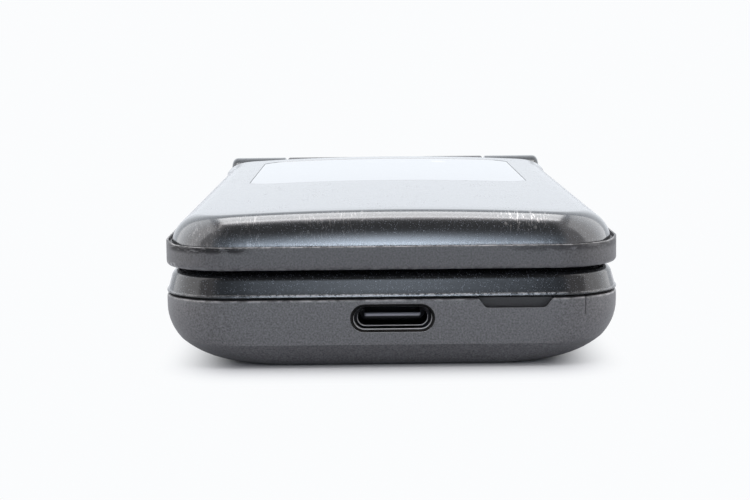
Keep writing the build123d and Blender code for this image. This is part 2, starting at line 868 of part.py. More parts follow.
with BuildPart() as audio_jack:
    body_start = jack_nose_x - jack_nose_length
    slab(jack_body, (-body_start + jack_body[0] / 2, jack_y), jack_z - jack_body[2] / 2)
    with BuildSketch(Plane.YZ.offset(-jack_nose_x)):
        with Locations((jack_y, jack_z)):
            Circle(jack_nose_radius)
    extrude(amount=jack_nose_length)
    with BuildSketch(Plane.YZ.offset(-jack_nose_x)):
        with Locations((jack_y, jack_z)):
            Circle(jack_bore)
    extrude(amount=jack_bore_depth, mode=Mode.SUBTRACT)
save(audio_jack, "audio_jack")

with BuildPart() as shield_cans:
    with BuildSketch(Plane.XY.offset(board_top_z)):
        with Locations(both_sides([shield_place])):
            Rectangle(shield_size[0], shield_size[1])
    extrude(amount=shield_size[2])
    with BuildSketch(Plane.XY.offset(board_top_z)):
        with Locations(both_sides([shield_place])):
            Rectangle(shield_size[0] - 2 * shield_wall, shield_size[1] - 2 * shield_wall)
    extrude(amount=shield_size[2] - shield_wall, mode=Mode.SUBTRACT)
save(shield_cans, "shield_cans")

# Case screws: heads under the chassis, tips in the bosses of the housing
screw_seat_z = board_z - fixed_clearance - screw_web
screw_tip_z = rim_z + screw_engagement - slide_clearance
with BuildPart() as case_screws:
    places = both_sides(case_screw_places)
    post(screw_head_radius, places, screw_seat_z - screw_head_height, screw_head_height)
    post(screw_radius, places, screw_seat_z, screw_tip_z - screw_seat_z)
save(case_screws, "case_screws")

# Side keys. Each has a flange behind the rim of the cover and a post that it turns or rests on.
button_face_x = half_width + side_button_stand
flange_face_x = half_width - cover_wall - carrier_gap
post_x = button_face_x - side_button_depth - side_button_gap


def side_button(side, place, span):
    """A key in the side: a rounded cap in its notch, and a flange wider than the notch behind it."""
    depth = button_face_x - (flange_face_x - button_flange_depth)
    slab((depth, span, side_button_height), (side * (button_face_x - depth / 2), place), button_z)
    slab(
        (button_flange_depth, span + 2 * button_flange_lip, side_button_height - slide_clearance),
        (side * (flange_face_x - button_flange_depth / 2), place),
        button_z,
    )


with BuildPart() as volume_rocker:
    side_button(-1, rocker_y, rocker_length)
    fillet(volume_rocker.edges().filter_by(Axis.Z).group_by(Axis.X)[0], side_button_corner)
    disc(button_post_radius, (-post_x, rocker_y), button_z, side_button_height - slide_clearance)
save(volume_rocker, "volume_rocker")

with BuildPart() as side_key:
    side_button(1, lock_key_y, lock_key_length)
    fillet(side_key.edges().filter_by(Axis.Z).group_by(Axis.X)[-1], side_button_corner)
save(side_key, "side_key")

# Chassis: follows the cover's bowl inside and carries the battery, the sockets and the board
with BuildPart() as chassis:
    bowl(cover_wall + inner_gap, chassis_z, inner_sweep_bands)
    inner_plan(side_rise, cover_wall + inner_gap, board_z - fixed_clearance - side_rise)
    roof = bay_roof_z - chassis_z
    bay = (battery_size[0] + 2 * slide_clearance, battery_size[1] + 2 * slide_clearance, roof)
    slab(bay, (0, battery_y), chassis_z, clip=battery_edge, mode=Mode.SUBTRACT)
    contact_bay = (
        contact_block[0] + 2 * slide_clearance,
        contact_block[1] + slide_clearance + contact_bay_margin,
        roof,
    )
    contact_bay_front = contact_y - contact_block[1] / 2 - slide_clearance
    slab(contact_bay, (0, contact_bay_front + contact_bay[1] / 2), chassis_z, mode=Mode.SUBTRACT)
    slab((*socket_bay, roof), (0, socket_bay_y), chassis_z, mode=Mode.SUBTRACT)
    speaker_bay = [size + 2 * slide_clearance for size in speaker_size]
    slab(speaker_bay, speaker_place, chassis_z, clip=speaker_edge, mode=Mode.SUBTRACT)
    post(motor_radius + slide_clearance, motor_place, chassis_z, motor_height + slide_clearance,
         coin_sides, Mode.SUBTRACT)
    jack_bay = [size + 2 * slide_clearance for size in jack_body]
    slab(
        (jack_bay[0], jack_bay[1], board_z - chassis_z),
        (-body_start + jack_body[0] / 2, jack_y),
        chassis_z,
        mode=Mode.SUBTRACT,
    )
    nose_bay = half_width - body_start
    slab(
        (nose_bay, 2 * (jack_nose_radius + inner_gap), board_z),
        (-half_width + nose_bay / 2, jack_y),
        chassis_z,
        mode=Mode.SUBTRACT,
    )
    port_bay = cover_wall + usb_shell_setback + usb_shell_length + inner_gap
    slab(
        (usb_shell_width + 2 * inner_gap, 2 * port_bay, board_z),
        (0, -half_length),
        port_z - usb_shell_height / 2 - inner_gap,
        mode=Mode.SUBTRACT,
    )
    for side, (place, span) in ((-1, rocker_notch), (1, lock_notch)):
        pocket = half_width - post_x + button_post_radius + side_button_travel
        slab(
            (pocket, span + 2 * button_pocket_margin, board_z),
            (side * (half_width - pocket / 2), place),
            button_z - button_flange_lip,
            mode=Mode.SUBTRACT,
        )
    post(
        screw_head_radius + slide_clearance,
        both_sides(case_screw_places),
        chassis_z,
        screw_seat_z - chassis_z,
        mode=Mode.SUBTRACT,
    )
    post(screw_radius + slide_clearance, both_sides(case_screw_places), screw_seat_z, screw_web,
         mode=Mode.SUBTRACT)
save(chassis, "chassis")

# Hinge. The cartridge is held in the lid's barrel by its flats, and its shaft in the right ear.
with BuildPart() as hinge_cartridge:
    cartridge_end = barrel_end_x - slide_clearance
    axle(cartridge_radius, cartridge_end - cartridge_length, cartridge_end, flat=cartridge_flat)
    axle(shaft_radius + running_clearance, cartridge_end - shaft_reach - slide_clearance, cartridge_end,
         Mode.SUBTRACT)
save(hinge_cartridge, "hinge_cartridge")

with BuildPart() as hinge_shaft:
    axle(shaft_radius, cartridge_end - shaft_reach, ear_inner)
    axle(shaft_head_radius, ear_inner, ear_inner + shaft_head_length, flat=shaft_head_flat)
save(hinge_shaft, "hinge_shaft")

# The hollow pivot at the left lets the ribbon between board and lid through
with BuildPart() as pivot_bush:
    axle(bush_radius, -ear_inner - bush_in_ear, -barrel_end_x + bush_in_barrel)
    axle(bush_bore, -ear_inner - bush_in_ear, -barrel_end_x + bush_in_barrel, Mode.SUBTRACT)
save(pivot_bush, "pivot_bush")

with BuildPart() as hinge_flex:
    with BuildSketch(HINGE_PLANE.offset(flex_start_x)):
        with Locations(hinge_centre):
            RegularPolygon(flex_roll_radius, coin_sides)
            RegularPolygon(flex_roll_radius - flex_thickness, coin_sides, mode=Mode.SUBTRACT)
    extrude(amount=-flex_end_x - flex_start_x)
    flex_face_y = hinge_y - flex_roll_radius
    with BuildSketch(Plane.YZ.offset(flex_start_x)):
        with BuildLine():
            Polyline(
                (flex_face_y, hinge_z),
                (flex_face_y, board_top_z + flex_thickness),
                (flex_landing_y, board_top_z + flex_thickness),
                (flex_landing_y, board_top_z),
                (flex_face_y + flex_thickness, board_top_z),
                (flex_face_y + flex_thickness, hinge_z),
                close=True,
            )
        make_face()
    extrude(amount=flex_width)
save(hinge_flex, "hinge_flex")

# Lid frame: the satin lower band of the lid with the hinge barrel. Its rim hangs a little below the
# inner face of the lid, so that the gap seen from outside is narrow while the keys stay clear.
rib_inset = rim_ledge + lid_cover_wall + slide_clearance
web_top_z = lid_face_z + web_height
with BuildPart() as lid_frame:
    lid_outline(skirt_z, 0.0, ledge_z - skirt_z)
    chamfer(lid_frame.faces().sort_by(Axis.Z)[0].edges(), frame_edge_bevel)
    lid_inner_plan(skirt_z, frame_wall, ledge_z - skirt_z, mode=Mode.SUBTRACT)
    lid_inner_plan(ledge_z, rib_inset, lid_rib_height)
    lid_inner_plan(ledge_z, rib_inset + lid_rib_wall, lid_rib_height, mode=Mode.SUBTRACT)
    slab(
        (2 * barrel_end_x, hinge_y - lid_block_y, web_height),
        (0, (hinge_y + lid_block_y) / 2),
        lid_face_z,
    )
    axle(hinge_radius, -barrel_end_x, barrel_end_x)
    post(
        lid_boss_radius,
        both_sides(lid_screw_places),
        face_top_z,
        ledge_z + lid_rib_height - face_top_z,
    )
    lid_inner_plan(skirt_z, face_margin - fixed_clearance, face_top_z - skirt_z, mode=Mode.SUBTRACT)
    axle(cartridge_radius + fixed_clearance, cartridge_end - cartridge_length - fixed_clearance,
         barrel_end_x, Mode.SUBTRACT, flat=cartridge_flat + fixed_clearance)
    axle(bush_radius + running_clearance, -barrel_end_x, -flex_chamber_end, Mode.SUBTRACT)
    slab(
        (flex_passage[0], hinge_y - lid_block_y, flex_passage[1]),
        (-flex_end_x + flex_passage[0] / 2, (hinge_y + lid_block_y) / 2),
        hinge_z + flex_passage[1],
        mode=Mode.SUBTRACT,
    )
    post(screw_radius + slide_clearance, both_sides(lid_screw_places), face_top_z,
         ledge_z + lid_rib_height - face_top_z, mode=Mode.SUBTRACT)
save(lid_frame, "lid_frame")

# Lid cover: the glossy shell, crowned across its width and rounded along its crest
with BuildPart() as lid_space:
    lid_inner_plan(ledge_z, rim_ledge + lid_cover_wall, lid_cover_height + cut_margin)
    crown(lid_top_z - lid_cover_wall)


def window_block(clearance):
    """The outer window grown by a clearance: a rounded plate that follows the crown above and below."""
    size = [side + 2 * clearance for side in outer_window_size]
    slab(
        (*size, lid_cover_height),
        (0, outer_window_y),
        ledge_z + lid_cover_height / 2,
        corner=outer_window_corner + clearance,
    )
    crown(lid_top_z - outer_window_thickness - clearance, mode=Mode.SUBTRACT)


with BuildPart() as window_seat:
    window_block(fixed_clearance)

with BuildPart() as outer_window:
    window_block(0.0)
    crown(lid_top_z)
save(outer_window, "outer_window")

with BuildPart() as lid_cover:
    lid_outline(ledge_z, rim_ledge, lid_cover_height + cut_margin)
    crown(lid_top_z)
    crest = lid_cover.faces().sort_by(Axis.Z)[-1].edges()
    crest_end = lid_end_y - lid_rear_corner
    fillet(crest.filter_by_position(Axis.Y, -length, crest_end), crest_radius)
    add(lid_space.part, mode=Mode.SUBTRACT)
    post_z = ledge_z + lid_rib_height + fixed_clearance
    screw_end_z = post_z + screw_engagement
    post(lid_post_radius, both_sides(lid_screw_places), post_z, screw_engagement + lid_screw_cap)
    post(
        screw_radius + fixed_clearance,
        both_sides(lid_screw_places),
        post_z,
        screw_engagement,
        mode=Mode.SUBTRACT,
    )
    slab(
        (
            2 * (barrel_end_x + slide_clearance),
            2 * (lid_end_y - lid_block_y + slide_clearance),
            web_top_z + slide_clearance - ledge_z,
        ),
        (0, lid_end_y),
        ledge_z,
        mode=Mode.SUBTRACT,
    )
    add(window_seat.part, mode=Mode.SUBTRACT)
    view = [side - 2 * outer_window_ledge for side in outer_window_size]
    slab(
        (*view, lid_cover_height),
        (0, outer_window_y),
        ledge_z,
        corner=outer_window_corner - outer_window_ledge,
        mode=Mode.SUBTRACT,
    )
save(lid_cover, "lid_cover")

# Inner face of the lid, with the display window flush in it
with BuildPart() as lid_face:
    lid_inner_plan(lid_face_z, face_margin, face_thickness)
    window_recess = [size + 2 * fixed_clearance for size in window_size[:2]]
    slab(
        (*window_recess, window_size[2]),
        (0, window_y),
        lid_face_z,
        corner=window_corner,
        mode=Mode.SUBTRACT,
    )
    slab((*display_view, face_thickness), (0, display_y), lid_face_z, mode=Mode.SUBTRACT)
    slab(
        (*earpiece_slot, face_thickness),
        (0, earpiece_slot_y),
        lid_face_z,
        clip=slot_clip,
        mode=Mode.SUBTRACT,
    )
    pads = both_sides(lid_screw_places)
    post(bumper_radius + fixed_clearance, pads, lid_face_z, bumper_inset, pad_sides, Mode.SUBTRACT)
    post(screw_head_radius + slide_clearance, pads, lid_face_z, face_thickness, mode=Mode.SUBTRACT)
save(lid_face, "lid_face")

with BuildPart() as display_window:
    slab(window_size, (0, window_y), lid_face_z, corner=window_corner)
save(display_window, "display_window")

with BuildPart() as main_display:
    slab(display_size, (0, display_y), stack_z)
save(main_display, "main_display")

with BuildPart() as earpiece:
    slab(earpiece_size, (0, earpiece_y), stack_z, clip=speaker_edge)
save(earpiece, "earpiece")

with BuildPart() as lid_board:
    slab(lid_board_size, (0, lid_board_y), lid_board_z)
    camera_hole = [size + 2 * loose_clearance for size in camera_body[:2]]
    slab((*camera_hole, lid_board_size[2]), (0, camera_y), lid_board_z, mode=Mode.SUBTRACT)
save(lid_board, "lid_board")

with BuildPart() as camera_module:
    slab(camera_body, (0, camera_y), stack_z)
    disc(camera_lens_radius, (0, camera_y), stack_z + camera_body[2], camera_lens_height)
save(camera_module, "camera_module")

with BuildPart() as flash_led:
    slab(flash_size, (flash_x, camera_y), lid_board_top_z)
save(flash_led, "flash_led")

with BuildPart() as outer_display:
    slab(outer_display_size, (0, outer_display_y), lid_board_top_z)
save(outer_display, "outer_display")

# Lid screws from below, hidden by the rubber pads that the closed lid rests near the deck with
with BuildPart() as lid_screws:
    head_z = lid_face_z + bumper_inset
    post(screw_head_radius, pads, head_z, face_top_z - head_z)
    post(screw_radius, pads, face_top_z, screw_end_z - slide_clearance - face_top_z)
save(lid_screws, "lid_screws")

with BuildPart() as lid_bumpers:
    pad_z = deck_z + bumper_gap
    post(bumper_radius, pads, pad_z, lid_face_z + bumper_inset - pad_z, pad_sides)
    chamfer(lid_bumpers.faces().group_by(Axis.Z)[0].edges(), bumper_edge)
save(lid_bumpers, "lid_bumpers")
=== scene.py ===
# %% [markdown]
# A flip phone lies shut on a white table, seen from the end with the charging port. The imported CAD
# model is loaded first. Every piece made below sits on it, in the same frame: +Z is up and the port
# faces -Y. Blender works in metres and the shapes below are given in millimetres. The size of the
# model is kept, so that the finished one can be held against it.

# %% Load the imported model
import json
import math
import bmesh
import bpy
import numpy as np
from mathutils import Matrix, Vector


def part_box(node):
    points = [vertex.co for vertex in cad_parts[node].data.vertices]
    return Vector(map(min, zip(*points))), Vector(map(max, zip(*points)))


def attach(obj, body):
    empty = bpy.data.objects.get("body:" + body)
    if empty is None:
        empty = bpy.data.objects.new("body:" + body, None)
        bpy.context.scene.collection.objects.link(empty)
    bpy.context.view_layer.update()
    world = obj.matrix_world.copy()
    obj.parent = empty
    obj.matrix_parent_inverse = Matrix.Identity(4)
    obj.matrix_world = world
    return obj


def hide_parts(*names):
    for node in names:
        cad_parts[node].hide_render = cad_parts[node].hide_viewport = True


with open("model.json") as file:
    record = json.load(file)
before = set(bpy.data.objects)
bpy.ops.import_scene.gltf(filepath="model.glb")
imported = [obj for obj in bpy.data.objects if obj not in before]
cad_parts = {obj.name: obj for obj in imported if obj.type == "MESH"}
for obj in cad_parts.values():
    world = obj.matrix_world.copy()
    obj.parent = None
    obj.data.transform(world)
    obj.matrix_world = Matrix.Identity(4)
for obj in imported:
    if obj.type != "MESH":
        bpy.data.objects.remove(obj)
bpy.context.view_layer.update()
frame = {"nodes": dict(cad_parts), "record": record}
MM = 0.001
nodes = frame["nodes"]


def add_object(name, data):
    """A new object with its data, in the scene."""
    made = bpy.data.objects.new(name, data)
    bpy.context.scene.collection.objects.link(made)
    return made


def box_mm(node):
    """The lowest and highest corner of a CAD node in millimetres."""
    low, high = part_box(node)
    return np.array(low) / MM, np.array(high) / MM


# %% [markdown]
# The camera comes first, because everything is judged through it. Lines along the phone meet high up in
# the picture, a little below its top, so the camera looks down by about seven degrees. It stands 21 cm
# in front of the port and 4 cm up, with a long lens, and it is rolled by just over half a degree. A
# constraint could aim it at the phone, but its axes are worked out from pitch, yaw and roll, because
# these are what the photograph's edges give.

# %% Camera
CAMERA_PLACE = Vector((-0.00219, -0.26264, 0.03969))
CAMERA_PITCH, CAMERA_YAW, CAMERA_ROLL = (math.radians(a) for a in (-6.952, 0.051, -0.596))
FOCAL_LENGTH, SENSOR_WIDTH = 85.99, 36.0
camera_data = bpy.data.cameras.new("studio_camera")
camera_data.lens = FOCAL_LENGTH
camera_data.sensor_width = SENSOR_WIDTH
camera = add_object("studio_camera", camera_data)
ahead = Vector((math.sin(CAMERA_YAW) * math.cos(CAMERA_PITCH),
                math.cos(CAMERA_YAW) * math.cos(CAMERA_PITCH), math.sin(CAMERA_PITCH)))
level = Vector((math.cos(CAMERA_YAW), -math.sin(CAMERA_YAW), 0))
above = level.cross(ahead)
right = level * math.cos(CAMERA_ROLL) + above * math.sin(CAMERA_ROLL)
upward = above * math.cos(CAMERA_ROLL) - level * math.sin(CAMERA_ROLL)
camera.matrix_world = Matrix((right, upward, -ahead)).transposed().to_4x4()
camera.matrix_world.translation = CAMERA_PLACE
bpy.context.scene.camera = camera
bpy.context.scene.view_settings.view_transform = "Standard"
print("camera at", tuple(round(v, 4) for v in CAMERA_PLACE))

# %% [markdown]
# Every finish here is made of shader nodes that work from the point on the piece, so that the pattern
# stays on the piece when it moves. Painted images could do it too, but here each size is a number that
# can be changed. A few short helpers stand for the nodes that all of them use: sums, soft steps,
# blends, noise and bumps.

# %% Material helpers
def set_inputs(node, **inputs):
    """Sets a node's inputs, each by its name or by i and its index, to a value or another's output."""
    for key, value in inputs.items():
        by_index = key[0] == "i" and key[1:].isdigit()
        socket = node.inputs[int(key[1:]) if by_index else key.replace("_", " ")]
        if isinstance(value, bpy.types.NodeSocket):
            node.id_data.links.new(value, socket)
        else:
            socket.default_value = value


def add_node(tree, kind, settings=None, **inputs):
    """A new node. Settings are its properties, and inputs are set as above."""
    made = tree.nodes.new("ShaderNode" + kind)
    for key, value in (settings or {}).items():
        setattr(made, key, value)
    set_inputs(made, **inputs)
    return made


def tree_of(*values):
    """The node tree of the first socket among some values, where nodes that work on them belong."""
    return next(value.id_data for value in values if isinstance(value, bpy.types.NodeSocket))


def math_node(operation, first, second=0.0, third=0.0, clamp=False):
    """One sum on up to three numbers or sockets."""
    return add_node(tree_of(first, second, third), "Math", {"operation": operation, "use_clamp": clamp},
                    i0=first, i1=second, i2=third).outputs[0]


def vector_node(operation, first, output=0, **inputs):
    """One sum on a vector or a colour."""
    made = add_node(tree_of(first, *inputs.values()), "VectorMath", {"operation": operation},
                    i0=first, **inputs)
    return made.outputs[output]


def times(*factors, clamp=False):
    """The product of numbers and sockets, kept between 0 and 1 if it is clamped."""
    product = factors[0]
    for factor in factors[1:]:
        product = math_node("MULTIPLY", product, factor, clamp=clamp)
    return product


def rescale(value, factor, term):
    """A value times a factor, plus a term."""
    return math_node("MULTIPLY_ADD", value, factor, term)


def ramp(source, low, high):
    """Turns a value into a share that is 0 at low and 1 at high, with soft ends."""
    return add_node(source.id_data, "MapRange", {"interpolation_type": "SMOOTHSTEP"},
                    Value=source, From_Min=low, From_Max=high).outputs[0]


def rise_and_fall(source, rise, fall):
    """A share that goes up from 0 to 1 over one pair of values, and down again over another."""
    return times(ramp(source, *rise), ramp(source, *fall))


def inside(source, low, high, soft=0.08):
    """A share that is 1 between two places in millimetres and 0 outside them."""
    return rise_and_fall(source, ((low - soft) * MM, (low + soft) * MM),
                         ((high + soft) * MM, (high - soft) * MM))


def blend_colours(share, first, second):
    """A colour between two colours or sockets, by a share."""
    made = add_node(tree_of(share, first, second), "Mix", {"data_type": "RGBA"}, i0=share)
    first, second = (value if isinstance(value, bpy.types.NodeSocket) else (*value, 1.0)
                     for value in (first, second))
    set_inputs(made, i6=first, i7=second)
    return made.outputs[2]


def new_material(name):
    """A node material and its Principled shader, with the point on the piece, in metres, and its parts."""
    material = bpy.data.materials.new(name)
    material.use_nodes = True
    tree = material.node_tree
    tree.nodes.clear()
    shader = add_node(tree, "BsdfPrincipled")
    add_node(tree, "OutputMaterial", Surface=shader.outputs[0])
    point = add_node(tree, "TexCoord").outputs["Object"]
    return material, shader, point, add_node(tree, "SeparateXYZ", Vector=point).outputs


def noise(point, size, detail=2.0, roughness=0.5):
    """Noise from 0 to 1 whose lumps are about size metres across."""
    return add_node(point.id_data, "TexNoise", Vector=point, Scale=1.0 / size, Detail=detail,
                    Roughness=roughness).outputs[0]


def drawn_out(point, scale, turn=0.0):
    """The point scaled on each axis and turned about the upright one, which draws noise out."""
    return add_node(point.id_data, "Mapping", {"vector_type": "POINT"}, Vector=point, Scale=scale,
                    Rotation=(0.0, 0.0, turn)).outputs[0]


def bumps(height, strength, depth=0.00002):
    """A normal that follows a height, whose full range is a depth in metres."""
    return add_node(height.id_data, "Bump", Strength=strength, Distance=depth, Height=height).outputs[0]


def mottled(colour, fine, cloud, contrast, cloud_contrast):
    """A colour made lighter and darker by fine grain and by soft clouds, by a contrast for each."""
    shade = times(rescale(fine, contrast * 2, 1 - contrast),
                  rescale(cloud, cloud_contrast * 2, 1 - cloud_contrast))
    return vector_node("SCALE", colour, Scale=shade)


print("material helpers ready")

# %% [markdown]
# The picture was taken in a white tent, and glossy plastic shows what stands round it. So the tent is
# drawn into the world's colour, by direction. It is white, and brighter behind the phone. In front it
# has a dark opening with a glow at the horizon and a bright upright slit, and these are what the crest
# of the lid mirrors. White and black cards could be stood round the phone instead, but a colour by
# direction needs no objects and blocks none of the lamps. To the camera the tent is plain white.

# %% White tent
# A pair of numbers gives where a share starts and where it is whole, in parts of a direction.
TENT_WHITE = (1.03, 0.970, 0.955)
BEHIND_WHITE = (1.36, 1.42, 1.50)
BEHIND = (-0.15, 0.45)
OPENING_GREY = (0.16, 0.155, 0.15)
OPENING_GLOW = (0.80, 0.90, 1.02)
OPENING_SHIFT = 0.04
OPENING_SIDES = (-0.76, -0.95)
OPENING_TOP = (0.995, 0.90)
GLOW_TOP = (0.75, 0.05)
SLIT_GLARE = 14.0
SLIT_MIDDLE, SLIT_REACH = 0.005, 0.085
SLIT_TOP = (0.67, 0.12)
HALO_GLARE = 3.0
HALO_FOOT, HALO_SIDE = (0.925, 0.995), (0.02, -0.08)
TENT_STRENGTH = 0.75
BACKDROP_WHITE = (0.965, 0.975, 0.985)


def tent_colour(sky):
    """The tent's colour by direction, whose parts x, y and z run from -1 to 1. The opening is where the
    heading, which is the direction made level, points towards -Y. The slit in it is a soft band round
    x = 0 that fades out by halfway up. The halo is the front half of a bright cap overhead."""
    direction = add_node(sky, "TexCoord").outputs["Generated"]
    x, y, z = add_node(sky, "SeparateXYZ", Vector=direction).outputs
    made_level = vector_node("MULTIPLY", direction, i1=(1.0, 1.0, 0.0))
    heading = add_node(sky, "SeparateXYZ", Vector=vector_node("NORMALIZE", made_level)).outputs
    in_front = ramp(rescale(heading[0], OPENING_SHIFT, heading[1]), *OPENING_SIDES)
    off_slit = math_node("ABSOLUTE", math_node("SUBTRACT", x, SLIT_MIDDLE))
    slit = times(ramp(off_slit, SLIT_REACH, 0.0), ramp(z, *SLIT_TOP), in_front)
    opening = blend_colours(ramp(z, *GLOW_TOP), OPENING_GREY, OPENING_GLOW)
    opening = vector_node("SCALE", opening, Scale=rescale(slit, SLIT_GLARE, 1.0))
    white = blend_colours(ramp(y, *BEHIND), TENT_WHITE, BEHIND_WHITE)
    halo = times(ramp(z, *HALO_FOOT), ramp(y, *HALO_SIDE))
    white = vector_node("SCALE", white, Scale=rescale(halo, HALO_GLARE, 1.0))
    return blend_colours(times(in_front, ramp(z, *OPENING_TOP)), white, opening)


def hang_tent():
    """Makes the tent the scene's world. The camera sees a plain backdrop in its place."""
    world = bpy.data.worlds.new("white_tent")
    bpy.context.scene.world = world
    world.use_nodes = True
    sky = world.node_tree
    sky.nodes.clear()
    seen = add_node(sky, "LightPath").outputs["Is Camera Ray"]
    tent = add_node(sky, "Background", Color=tent_colour(sky), Strength=TENT_STRENGTH)
    backdrop = add_node(sky, "Background", Color=(*BACKDROP_WHITE, 1.0), Strength=1.0)
    chosen = add_node(sky, "MixShader", i0=seen, i1=tent.outputs[0], i2=backdrop.outputs[0])
    add_node(sky, "OutputWorld", Surface=chosen.outputs[0])
    return world


print("tent", hang_tent().name)

# %% [markdown]
# One wide lamp hangs over the table, a little behind the phone, and a wide one stands at each side.
# The table is matt white paint. To the camera it is as white as the tent, and only near the phone does
# it keep its shading, which is the soft contact shadow of the photograph. A shadow catcher and a second
# picture could do the same, but this way it takes one render.

# %% Lamps and table
LAMP_TINT = (1.0, 0.97, 0.94)
TABLE_HALF = 3.0
TABLE_GREY = (0.50, 0.52, 0.555)
SHADOW_CORE = (0.018, 0.050, 0.0)
SHADOW_STRETCH = (1.2, 0.95, 0.0)
SHADOW_REACH = 0.013


def lamp(name, place, target, size, power):
    """A square area lamp of a size in metres, turned to a target."""
    data = bpy.data.lights.new(name, "AREA")
    data.size = size
    data.energy = power
    data.color = LAMP_TINT
    made = add_object(name, data)
    made.location = place
    made.rotation_euler = (Vector(target) - Vector(place)).to_track_quat("-Z", "Y").to_euler()


def table_finish():
    """Matt white paint, with plain white mixed in for the camera. Its share is a soft step from 0 to 1
    over the distance from a rectangle under the phone."""
    material, shader, spot, _ = new_material("white_table")
    tree = material.node_tree
    set_inputs(shader, Base_Color=(*TABLE_GREY, 1.0), Roughness=0.55, Specular_IOR_Level=0.2)
    seen = add_node(tree, "LightPath").outputs["Is Camera Ray"]
    glow = add_node(tree, "Emission", Color=(*BACKDROP_WHITE, 1.0), Strength=1.0)
    beyond = vector_node("SUBTRACT", vector_node("ABSOLUTE", spot), i1=SHADOW_CORE)
    beyond = vector_node("MAXIMUM", beyond, i1=(0.0, 0.0, 0.0))
    beyond = vector_node("MULTIPLY", beyond, i1=SHADOW_STRETCH)
    distance = vector_node("LENGTH", beyond, "Value")
    share = times(seen, ramp(distance, 0.0, SHADOW_REACH))
    mixed = add_node(tree, "MixShader", i0=share, i1=shader.outputs[0], i2=glow.outputs[0])
    set_inputs(tree.nodes["Material Output"], Surface=mixed.outputs[0])
    return material


lamp("lamp_above", (0.0, 0.10, 0.75), (0, 0, 0), 0.55, 4.1)
lamp("lamp_left", (-0.64, 0.06, 0.35), (0, 0, 0.01), 0.95, 3.8)
lamp("lamp_right", (0.64, 0.08, 0.35), (0, 0, 0.01), 0.95, 3.8)
table_mesh = bpy.data.meshes.new("table")
corners = [(-1, -1), (1, -1), (1, 1), (-1, 1)]
table_mesh.from_pydata([(x * TABLE_HALF, y * TABLE_HALF, 0) for x, y in corners], [], [(0, 1, 2, 3)])
table_mesh.materials.append(table_finish())
table = add_object("table", table_mesh)
print("table", 2 * TABLE_HALF, "m across, with three lamps")

# %% [markdown]
# The two shells that the hand holds are satin plastic: the rear cover and the band of the lid. Fine
# grain breaks up the grey. A rim is lighter, partly where it has been rubbed and partly as a painted
# highlight along it. A rim curves, so it would be hard to find by place. The mesh marks it instead, by
# a vertex attribute called wear_and_sheen. On the band, dark streaks hang under the lid's rim near the
# two front corners, and the foot of the left one is chipped. Both are noise that is kept to one part of
# the band.

# %% Satin plastic
# The light grey of rubbed rims, which also stands for a painted highlight along them, and of scratches.
WORN_AND_SHEEN_GREY = (0.30, 0.30, 0.31)
CHIP_GREY = (0.42, 0.42, 0.43)
UNDER_RIM_BLACK = (0.010, 0.010, 0.011)
SATIN_GLOSS = 0.7
# Where the dark streaks and the chips lie, in metres: a share goes from 0 to 1 over each pair of places.
DARK_STREAKS_LEFT = ((-0.0272, -0.0262), (-0.0160, -0.0185))
DARK_STREAKS_RIGHT = (0.0120, 0.0170)
DARK_STREAKS_HEIGHT = ((0.0136, 0.0141), (0.0146, 0.01445))
CHIPS_LEFT, CHIPS_LOW = (-0.0252, -0.0262), (0.0126, 0.0119)


def rubbed_share(patches, low, high):
    """How far a rim is rubbed and painted light as a highlight: the mesh's wear and sheen, kept where noise
    is high.
    """
    wear_and_sheen = add_node(patches.id_data, "Attribute", {"attribute_name": "wear_and_sheen"}).outputs["Fac"]
    return times(wear_and_sheen, ramp(patches, low, high), clamp=True)


def soiled(shader, point, parts, tone, amount):
    """The colour with dark streaks, which also take the gloss away, and with chips. Both are noise kept in
    a range of x and a range of z."""
    # Dark streaks: noise that darkens and dulls the band just under the lid's rim, near its front corners.
    right_share = times(ramp(parts[0], *DARK_STREAKS_RIGHT), 0.6)
    corner = math_node("ADD", rise_and_fall(parts[0], *DARK_STREAKS_LEFT), right_share, clamp=True)
    streaks = noise(drawn_out(point, (0.25, 0.25, 1.0)), 0.0004, 3.0, 0.7)
    darkening = times(corner, rise_and_fall(parts[2], *DARK_STREAKS_HEIGHT), ramp(streaks, 0.36, 0.50), amount)
    set_inputs(shader, Specular_IOR_Level=rescale(darkening, -0.55, SATIN_GLOSS))
    chips = ramp(noise(point, 0.00035, 3.0, 0.7), 0.50, 0.60)
    chipped = times(ramp(parts[0], *CHIPS_LEFT), ramp(parts[2], *CHIPS_LOW), chips)
    return blend_colours(chipped, blend_colours(darkening, tone, UNDER_RIM_BLACK), CHIP_GREY)


def satin(name, colour, roughness=0.42, grain=0.00022, contrast=0.5, dark_streaks=0.0):
    """Satin moulded plastic: the same grain in colour, roughness and bump, cloudy patches, rims made
    lighter by wear and a painted highlight, and dark streaks by an amount."""
    material, shader, point, parts = new_material(name)
    fine = noise(point, grain, 3.0, 0.6)
    grey = mottled(colour, fine, noise(point, 0.02, 3.0), contrast, 0.12)
    # Rims are lighter, as wear and a painted highlight along them.
    rubbed_and_sheen = rubbed_share(noise(point, 0.0012, 4.0, 0.7), 0.42, 0.62)
    tone = blend_colours(rubbed_and_sheen, grey, WORN_AND_SHEEN_GREY)
    set_inputs(shader, Roughness=rescale(fine, 0.2, roughness - 0.1),
               Specular_IOR_Level=SATIN_GLOSS, Normal=bumps(fine, 0.25, 0.00003))
    if dark_streaks:
        tone = soiled(shader, point, parts, tone, dark_streaks)
    set_inputs(shader, Base_Color=tone)
    return material


satin_grey = satin("satin_grey", (0.082, 0.082, 0.088), contrast=1.5)
satin_band = satin("satin_band", (0.057, 0.057, 0.062), contrast=1.5, dark_streaks=0.9)
notch_painted_shade = satin("notch_shadow", (0.022, 0.022, 0.024), roughness=0.6, contrast=0.8)
inner_matte = satin("inner_matte", (0.028, 0.028, 0.031), roughness=0.5, grain=0.00035, contrast=0.2)
key_matte = satin("key_matte", (0.036, 0.037, 0.042), roughness=0.36, grain=0.0003, contrast=0.15)
print("satin finishes ready")
